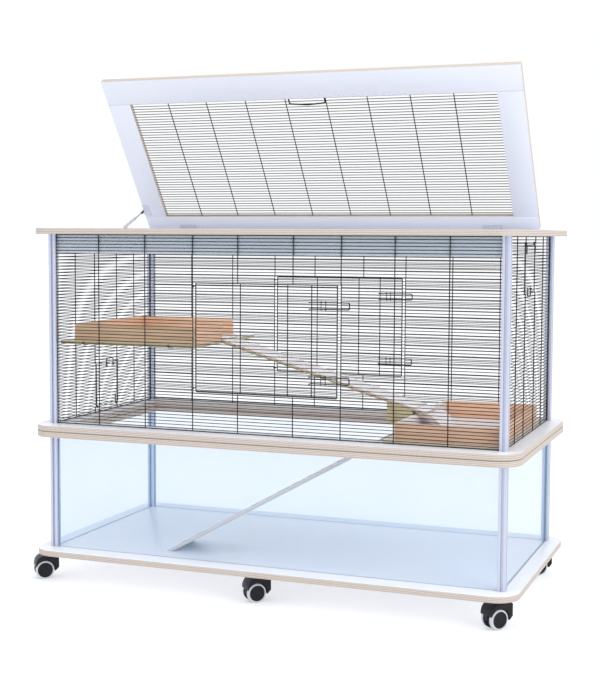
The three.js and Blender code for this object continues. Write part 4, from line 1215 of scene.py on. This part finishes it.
# ------------------------------------------------------------------ boards, boxes, ramps
@dataclass
class LitterBox:
    """Pine walls butted together on a board."""

    node: str
    walls: dict[str, tuple[float, float, float, float]]  # left, front, right, back
    # Painted shade and light: the front wall's tones are darker for shade, the other walls' tones
    # lighter for light.
    front: tuple[tuple, tuple] = (srgb(232, 194, 166), srgb(198, 152, 122))
    other: tuple[tuple, tuple] = (srgb(242, 200, 168), srgb(218, 168, 136))
    board: tuple[str, ...] = ()  # walls of white board

    def build(self) -> None:
        """One board for each wall, with its grain along its length."""
        low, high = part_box(self.node)
        place = level_place(MIDDLE.x, 0.0, low.z)
        for number, (name, (left, front, right, back)) in enumerate(self.walls.items()):
            former = Former(place)
            former.block((left, front, 0.0), (right, back, (high.z - low.z) / MM))
            long_way = Axis.X if right - left > back - front else Axis.Y
            # The front wall takes the darker tones of painted shade, the others the lighter tones
            # of painted light.
            tones = self.front if name == "front" else self.other
            finish: Finish = Timber(f"{self.node}_pine_{name}", long_way.value, *tones)
            if name in self.board:
                finish = BoardStock(f"{self.node}_white_wall", face=srgb(248, 240, 238),
                                    edge=Axis.Y.value)
            SHOP.piece(f"{self.node}_{name}_wall", former, finish, "cage",
                       [] if number else [self.node], 1.2, 3)


def level_stock(name: str, underside: float, pale: tuple = srgb(208, 200, 168),
                dark: tuple = srgb(142, 130, 102)) -> BoardStock:
    """The thin white-faced plywood of the boards and the ramp's lip, lying level."""
    return BoardStock(name, underside=underside, ply=2.0 * MM, face=srgb(246, 240, 240),
                      pale=pale, dark=dark)


@dataclass
class Ramp:
    """A sloping board with rungs."""

    node: str
    top: float  # x of its upper end
    start: float  # height of its underside there, over the ground
    foot: float  # height that it reaches down to
    slope: float
    front: float
    back: float
    way: float = 1.0  # 1 where it falls to the right, -1 to the left
    thickness: float = 9.0
    upright: bool = False  # whether its lower end is cut upright, with round corners
    pitch: float = 45.0  # from rung to rung
    face: tuple = srgb(250, 244, 246)
    pale: tuple = srgb(218, 208, 184)
    dark: tuple = srgb(164, 148, 120)

    def build(self) -> None:
        """The board and its rungs."""
        rise = self.thickness * math.hypot(1, self.slope)
        angle = math.atan(self.slope)
        place = level_place(MIDDLE.x)
        former = Former(place)
        run = (self.start - self.foot) / self.slope
        if self.upright:
            self._slab(former, run, rise)
        else:
            outline = [(0.0, self.start), (0.0, self.start + rise),
                       ((self.start + rise - self.foot) / self.slope, self.foot),
                       (run, self.foot)]
            former.extrude([[(self.top + self.way * x, z) for x, z in outline]], self.front,
                           self.back, lambda x, z, y: (x, y, z))
        up = (self.way * math.sin(angle), 0.0, math.cos(angle))
        origin = Vector((MIDDLE.x + self.top * MM, 0.0, self.start * MM))
        finish = BoardStock(f"{self.node}_stock", up=up, underside=origin.dot(Vector(up)),
                            ply=3.0 * MM, face=self.face, pale=self.pale, dark=self.dark)
        SHOP.piece(f"{self.node}_board", former, finish, "cage", [self.node],
                   0.8, 2)
        self._rungs(place, rise, angle)

    def _slab(self, former: Former, run: float, rise: float) -> None:
        """A board drawn from above, with two round corners at its lower end."""
        radius, steps = 9.0, 6
        plan: list[Flat] = [(0.0, self.back), (0.0, self.front)]
        for centre, first in ((self.front + radius, -90), (self.back - radius, 0)):
            plan += arc(radius, first, 90, steps, (run - radius, centre))
        former.extrude([plan], 0.0, rise,
                       lambda x, y, h: (self.top + self.way * x, y,
                                        self.start - x * self.slope + h))

    def _rungs(self, place: Matrix, rise: float, angle: float) -> None:
        """Half-round rungs pinned across the board."""
        rungs = Former(place)
        length = (self.start - self.foot) / math.sin(angle)
        for number in range(int(length // self.pitch)):
            along = self.pitch * (number + 0.5)
            x = self.top + self.way * along * math.cos(angle)
            z = self.start + rise - along * math.sin(angle)
            turned = self.way * angle
            arch = [(-4.0, -1.0), (4.0, -1.0), *arc(4.0, 0, 180, 8, (0.0, 0.2), 2.7)]
            section = [(x + u * math.cos(turned) + v * math.sin(turned),
                        z - u * math.sin(turned) + v * math.cos(turned)) for u, v in arch]
            rungs.extrude([section], self.front + 0.6, self.back - 0.6,
                          lambda u, v, y: (u, y, v))
        SHOP.piece(f"{self.node}_rungs", rungs, Timber("rung_birch", Axis.Y.value,
                                                       srgb(240, 234, 236), srgb(226, 216, 214),
                                                       0.0, 300.0),
                   "cage")


# ------------------------------------------------------------------ strut
@dataclass
class Strut:
    """The gas strut; its two brackets are dressed with the fittings."""

    tilt: float = 21.752
    length: float = 126.06
    cylinder: float = 72.0

    def build(self) -> None:
        """The cylinder, and the rod with its end fitting."""
        angle = math.radians(self.tilt)
        along = (0.0, math.cos(angle), math.sin(angle))
        up = (0.0, -math.sin(angle), math.cos(angle))
        low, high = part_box("strut_cylinder")
        origin = ((low.x + high.x) / 2, 0.086, 0.949)
        place = placement(origin, Axis.X.value, along, up)
        shell = Former(place)
        shell.lathe([(2.2, 5.0), (3.2, 5.4), (3.4, 7.6), (3.9, 8.6), (4.0, 10), (4.0, 66.5),
                     (3.7, 67.2), (3.7, 68.2), (4.0, 68.9), (4.0, 70.8), (3.4, 71.9),
                     (2.3, 72.0), (2.3, 69.0)], (0, 0, 0), (0, 1, 0), 28)
        self._eye(shell, 0.0)
        SHOP.piece("strut_cylinder_shell", shell, SILVER, "strut_cylinder",
                   ["strut_cylinder"])
        rod = Former(place)
        rod.lathe([(1.9, 60.5), (2.0, 61), (2.0, 113.5)], (0, 0, 0), (0, 1, 0), 20)
        SHOP.piece("strut_rod_shaft", rod, STEEL, "strut_rod", ["strut_rod"])
        fitting = Former(place)
        fitting.lathe([(2.1, 112.2), (3.6, 112.5), (3.9, 113.3), (3.9, 116.4), (2.8, 118.2),
                       (2.4, 122.2)],
                      (0, 0, 0), (0, 1, 0), 20)
        self._eye(fitting, self.length)
        SHOP.piece("strut_rod_fitting", fitting, DARK_STEEL, "strut_rod")

    @staticmethod
    def _eye(former: Former, distance: float) -> None:
        """A ring across the strut, with its bore."""
        former.lathe([(2.4, -2.5), (4.1, -2.5), (4.5, -2.0), (4.5, 2.0), (4.1, 2.5),
                      (2.4, 2.5)], (0, distance, 0), (1, 0, 0), 24, True)


# ------------------------------------------------------------------ casters
@dataclass
class Caster:
    """A twin-wheel furniture caster under a moulded hood."""

    name: str
    x: float
    y: float
    turn: float
    radius: float = 25.0
    trail: float = 24.0
    half: float = 22.0
    web: float = 4.2
    under: float = 75.0

    def build(self) -> None:
        """The hood, the wheels and the mounting plate."""
        angle = math.radians(90 + self.turn)
        c, s = math.cos(angle), math.sin(angle)
        place = placement((MIDDLE.x + self.x * MM, self.y * MM, 0.0), (c, s, 0), (-s, c, 0),
                          Axis.Z.value)
        self._hood(place)
        self._wheels(place)
        self._plate()

    def _hood(self, place: Matrix) -> None:
        """A fender over both wheels, with a web between them and a collar on top."""
        back, top, front, skirt = self.trail + self.radius, 63.0, -13.0, 22.0
        outline = [(front + 9, skirt), (back - 1.5, skirt), (back, 36.0)]
        start, corner, end = (Vector(point) for point in ((back, 36.0), (back - 1, top),
                                                          (back - 26, top)))
        outline += [tuple(point) for point in bend(start, corner, end, 12)[1:]]
        outline += [(front + 3, top), (front, top - 3), (front, skirt + 9)]
        former = Former(place)
        former.extrude([outline], -self.half, self.half, lambda y, z, x: (x, y, z))
        wells = []
        for radius, x0, x1 in ((self.radius + 1.5, self.web, self.half + 4),
                               (self.radius + 1.5, -self.half - 4, -self.web),
                               (3.4, -self.half, self.half)):
            wells.append(Former(place))
            wells[-1].lathe([(radius, x0), (radius, x1)], (0, self.trail, self.radius),
                            (1, 0, 0), 56)
        SHOP.piece(f"{self.name}_caster_fender", former, HOOD_PLASTIC,
                   f"{self.name}_caster_hood", [f"{self.name}_caster_hood"],
                   1.6, 3, wells, 42.0)
        collar = Former(place)
        collar.lathe([(12.0, top - 1.0), (12.0, 66.5), (10.4, 67.2), (10.4, 70.6), (11.4, 71.2),
                      (11.4, 74.4)], (0, 0, 0), (0, 0, 1), 36)
        SHOP.piece(f"{self.name}_caster_collar", collar, STEEL, f"{self.name}_caster_hood")

    def _wheels(self, place: Matrix) -> None:
        """Two soft treads on moulded hubs."""
        tread, hub = Former(place), Former(place)
        axle = (0, self.trail, self.radius)
        for side in (-1, 1):
            tread.lathe([(20.2, 12.3), (25.0, 12.3), (25.0, 17.6), (24.6, 19.4),
                         (23.4, 21.2), (21.6, 22.0), (20.4, 21.8), (20.2, 21.2)], axle,
                        (side, 0, 0), 56, True)
            # The hub's rim runs out to the tread's radius on the inner side: a real rim, whose dark
            # band is also painted shade for the gap between the wheels.
            hub.lathe([(20.2, 6.0), (23.6, 6.0), (24.9, 7.6), (24.9, 12.2), (20.2, 12.2)], axle,
                      (side, 0, 0), 56, True)
            hub.lathe([(3.0, 4.7), (19.0, 4.9), (20.2, 6.2), (20.2, 20.6), (19.4, 21.3),
                       (18.2, 21.0), (17.6, 20.4), (9.0, 20.1), (8.4, 20.7), (7.2, 20.9),
                       (2.0, 21.1)], axle, (side, 0, 0), 48)
        hub.lathe([(3.0, -4.8), (3.0, 4.8)], axle, (1, 0, 0), 20)
        body = f"{self.name}_caster_wheels"
        SHOP.piece(f"{self.name}_caster_treads", tread, TREAD_RUBBER, body, [body])
        SHOP.piece(f"{self.name}_caster_hubs", hub, HUB_PLASTIC, body)

    def _plate(self) -> None:
        """The square plate that holds the stem, on four screws."""
        place = level_place(MIDDLE.x + self.x * MM, self.y * MM)
        former = Former(place)
        outline = [(p.x, p.y) for p in rounded_loop(-19, -19, 19, 19, 5, 0.0, 4)]
        former.extrude([outline, arc(12.9, 0, -348, 29)], self.under - 1.6, self.under)
        for x in (-14.5, 14.5):
            for y in (-14.5, 14.5):
                former.lathe([(1.4, self.under - 2.9), (2.9, self.under - 2.5),
                              (3.1, self.under - 1.5)], (x, y, 0), (0, 0, 1), 16)
        SHOP.piece(f"{self.name}_caster_plate", former, STEEL, "cage")


# ------------------------------------------------------------------ the whole
@dataclass
class Cage:
    """The whole cage, sub-assembly by sub-assembly."""

    tiers: tuple[str, ...] = ("lower", "upper")
    corners: tuple[str, ...] = ("front_left", "front_right", "back_left", "back_right")
    caster_x: tuple[float, ...] = (-625.0, -9.0, 607.0)
    caster_y: float = 267.0

    def build(self) -> None:
        """Makes everything."""
        self._plates()
        for tier in self.tiers:
            for corner in self.corners:
                Post(f"{tier}_post_{corner}").build()
        self._glass()
        for name, way in (("front", -1.0), ("back", 1.0)):
            DoorWall(name, way).build()
        FlapWall("left", -1.0, 2, -1).build()
        FlapWall("right", 1.0, 43, 1).build()
        Lid().build()
        Strut().build()
        self._fittings()
        self._boards()
        self._ramps()
        self._casters()

    def _plates(self) -> None:
        """Four plates: the base, two round the floor opening, and the top ring."""
        Plate("base_plate").build()
        floor_hole = (-568.5, -235.0, 568.5, 235.0)
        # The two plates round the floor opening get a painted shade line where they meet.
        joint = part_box("cage_floor_plate")[0].z
        Plate("lower_rim_plate", floor_hole, joint=joint).build()
        Plate("cage_floor_plate", floor_hole, joint=joint).build()
        Plate("top_frame_plate", (-540.0, -225.0, 540.0, 190.0),
              pockets=((-483.8, -431.7), (431.7, 483.8))).build()

    def _glass(self) -> None:
        """Four panes."""
        for name, way in (("front", Axis.Y), ("back", Axis.Y), ("left", Axis.X),
                          ("right", Axis.X)):
            SHOP.keep(f"{name}_glass", PaneGlass(f"pane_{way.name.lower()}", way.value), 0.5)

    def _fittings(self) -> None:
        """Hinges and the strut's brackets."""
        for side in ("left", "right"):
            SHOP.keep(f"{side}_hinge_plate_leaf", STEEL, 0.2)
            SHOP.keep(f"{side}_hinge_lid_leaf", PALE_STEEL, 0.2)
        SHOP.keep("strut_base_bracket", SILVER, 0.2)
        SHOP.keep("strut_lid_bracket", PALE_STEEL, 0.2)

    def _boards(self) -> None:
        """The header, the two floor boards and the pine boxes."""
        low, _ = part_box("front_header_board")
        # Painted shade: the white header board gets a blue-grey face, for the shade under the top
        # plate.
        SHOP.keep("front_header_board", BoardStock("header_shaded_stock", up=Axis.Y.value,
                                                   underside=low.y, face=srgb(176, 190, 204)),
                  0.6)
        low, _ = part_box("lower_floor_board")
        SHOP.keep("lower_floor_board", level_stock("lower_floor_stock", low.z,
                                                   srgb(240, 228, 208), srgb(200, 182, 156)), 0.5)
        self._shelf()
        # The upper box's front tones are darker still: painted shade on its front wall.
        LitterBox("upper_box", {
            "front": (-552, -268, -203, -258), "left": (-552, -258, -542, 105),
            "back": (-552, 105, -260, 115), "right": (-213, -258, -203, -90)},
            (srgb(214, 184, 152), srgb(176, 142, 110))).build()
        LitterBox("lower_box", {
            "front": (334, -268, 590, -258), "back": (334, 202, 590, 212),
            "left": (334, -258, 344, 202), "right": (580, -258, 590, 202)},
            board=("left",)).build()

    def _shelf(self) -> None:
        """The shelf board, and the wire hooks that hang it on the walls' rows."""
        low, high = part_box("upper_shelf_board")
        under, left, front = low.z / MM, -595.0, -268.0
        place = level_place(MIDDLE.x)
        board = Former(place)
        board.block((left, front, under), (-203.0, 130.0, high.z / MM))
        SHOP.piece("upper_shelf_panel", board, level_stock("shelf_stock", low.z), "cage",
                   ["upper_shelf_board"], 0.7, 2)
        row = CAGE_FLOOR / MM + GAUGE.height(26)
        hooks = Former(place)
        over, inside, outside = row + 2.3, 7.6, 15.4
        for x in (-520.0, -270.0):
            hooks.wire(rounded_path([(x, front + 16, under - 1.2), (x, front - inside, under - 1.2),
                                     (x, front - inside, over), (x, front - outside, over),
                                     (x, front - outside, over - 5)], 1.6, 4), 1.1)
        for y in (20.0, -110.0):
            hooks.wire(rounded_path([(left + 16, y, under - 1.2), (left - 7.6, y, under - 1.2),
                                     (left - 7.6, y, over), (left - 14.6, y, over),
                                     (left - 14.6, y, over - 5)], 1.6, 4), 1.1)
        SHOP.piece("upper_shelf_hooks", hooks, WIRE, "cage")

    def _ramps(self) -> None:
        """The upper ramp with its lip, block and landing, and the lower ramp."""
        shelf_low, shelf_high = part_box("upper_shelf_board")
        floor_board_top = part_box("lower_floor_board")[1].z / MM
        top, start, slope, front = -202.7, CAGE_FLOOR / MM + 213.6, 0.2938, -95
        wall_face, over = 344.0, 22.0
        Ramp("upper_ramp", top, start, start - (wall_face + over - top) * slope, slope, front, 8,
             upright=True).build()
        lip = Former(level_place(MIDDLE.x))
        lip_low = start + 8.3
        lip.block((-225, -89.5, lip_low), (top + 3, 8, lip_low + 3))
        SHOP.piece("upper_ramp_lip", lip, level_stock("ramp_lip_stock", lip_low * MM), "cage",
                   bevel=0.8)
        landing = Former(lip.place)
        left, floor = wall_face + 1.5, CAGE_FLOOR / MM
        landing.extrude([[(left, floor + 51.5), (left, floor + 44), (left + 26, floor + 40.5),
                          (left + 66, floor_board_top + 0.3), (left + 80, floor_board_top + 0.3),
                          (left + 34, floor + 49)]], front, 35, lambda x, z, y: (x, y, z))
        SHOP.piece("upper_ramp_landing", landing,
                   BoardStock("landing_stock", face=srgb(244, 238, 241), edge=Axis.Y.value,
                              pale=srgb(226, 214, 208), dark=srgb(190, 172, 160)),
                   "cage", bevel=1.2, rings=3)
        block = Former(lip.place)
        under = [(x, start - (x - top) * slope + 1) for x in (262.0, 330.0)]
        foot = floor_board_top + 12.5
        block.extrude([[(262.0, foot), (330.0, foot), under[1], under[0]]], front, -35,
                      lambda x, z, y: (x, y, z))
        # Painted shade: the block's pine tones are olive and dark, for the shade under the ramp's
        # end.
        SHOP.piece("upper_ramp_block", block, Timber("block_pine_shaded", Axis.Z.value,
                                                     srgb(206, 194, 158), srgb(176, 162, 122)),
                   "cage", bevel=0.8)
        Ramp("lower_ramp", 305.7, CAGE_FLOOR / MM + 0.3, BASE_HIGH.z / MM + 0.3, 0.5627, -222,
             -93.5, -1.0, face=srgb(232, 224, 220), pale=srgb(224, 214, 206),
             dark=srgb(196, 182, 170)).build()

    def _casters(self) -> None:
        """Six casters."""
        rows = (("front", -self.caster_y, (40, 44, 50)), ("back", self.caster_y, (50, 44, 40)))
        for row, y, turns in rows:
            for place, x, turn in zip(("left", "middle", "right"), self.caster_x, turns):
                Caster(f"{row}_{place}", x, y, turn).build()


@dataclass
class Studio:
    """Camera, floor and soft light."""

    eye: Point = (1.25407, -3.29281, 0.92509)
    yaw: float = -0.365430
    pitch: float = -0.071856
    roll: float = 0.004593
    lens: float = 67.274
    shift: Flat = (0.0028, -0.0284)

    def build(self) -> None:
        """Sets everything that isn't part of the object."""
        self._camera()
        self._floor()
        self._light()

    def _camera(self) -> None:
        """The camera at the photograph's place and angle."""
        data = bpy.data.cameras.new("camera")
        data.lens, data.sensor_width = self.lens, 36.0
        data.shift_x, data.shift_y = self.shift
        data.clip_end = 60.0
        camera = bpy.data.objects.new("camera", data)
        forward = Vector((math.sin(self.yaw) * math.cos(self.pitch),
                          math.cos(self.yaw) * math.cos(self.pitch), math.sin(self.pitch)))
        right = Vector((math.cos(self.yaw), -math.sin(self.yaw), 0.0))
        up = right.cross(forward)
        c, s = math.cos(self.roll), math.sin(self.roll)
        right, up = right * c + up * s, up * c - right * s
        turn = Matrix([right, up, -forward]).transposed().to_4x4()
        camera.matrix_world = Matrix.Translation(self.eye) @ turn
        bpy.context.scene.collection.objects.link(camera)
        bpy.context.scene.camera = camera

    def _floor(self) -> None:
        """A wide pale floor."""
        former = Former(level_place())
        reach = 30000.0
        ring = former.add_ring([Vector((x, y, 0)) for x, y in
                                ((-reach, -reach), (reach, -reach), (reach, reach),
                                 (-reach, reach))])
        former.faces.append(tuple(ring))
        mesh = former.mesh("studio_floor")
        mesh.materials.append(StudioFloor("studio_paper").material())
        floor = bpy.data.objects.new("studio_floor", mesh)
        bpy.context.scene.collection.objects.link(floor)

    def _light(self) -> None:
        """A white surround with large soft lamps above and to the sides."""
        world = bpy.data.worlds.new("studio")
        bpy.context.scene.world = world
        world.use_nodes = True
        surround = world.node_tree.nodes["Background"]
        surround.inputs["Color"].default_value = (0.98, 0.99, 1.0, 1.0)
        surround.inputs["Strength"].default_value = 1.02
        for name, place, size, power in (("key", (3.8, -2.0, 2.4), 2.4, 60.0),
                                         ("fill", (-2.6, -3.6, 3.2), 2.4, 18.0),
                                         ("top", (0.1, -0.5, 3.4), 1.8, 16.0)):
            lamp = bpy.data.lights.new(name, "AREA")
            lamp.energy, lamp.size = power, size
            thing = bpy.data.objects.new(name, lamp)
            thing.location = place
            aim = Vector((0, 0, 0.6)) - Vector(place)
            thing.rotation_mode = "QUATERNION"
            thing.rotation_quaternion = aim.to_track_quat("-Z", "Y")
            bpy.context.scene.collection.objects.link(thing)
        bpy.context.scene.view_settings.view_transform = "Standard"


def main() -> None:
    """Builds the cage and its studio."""
    logging.basicConfig(level=logging.INFO, format="%(name)s: %(message)s")
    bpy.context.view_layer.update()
    Studio().build()
    Cage().build()
    LOG.info("%d pieces", len(SHOP.made))


if __name__ == "__main__":
    main()
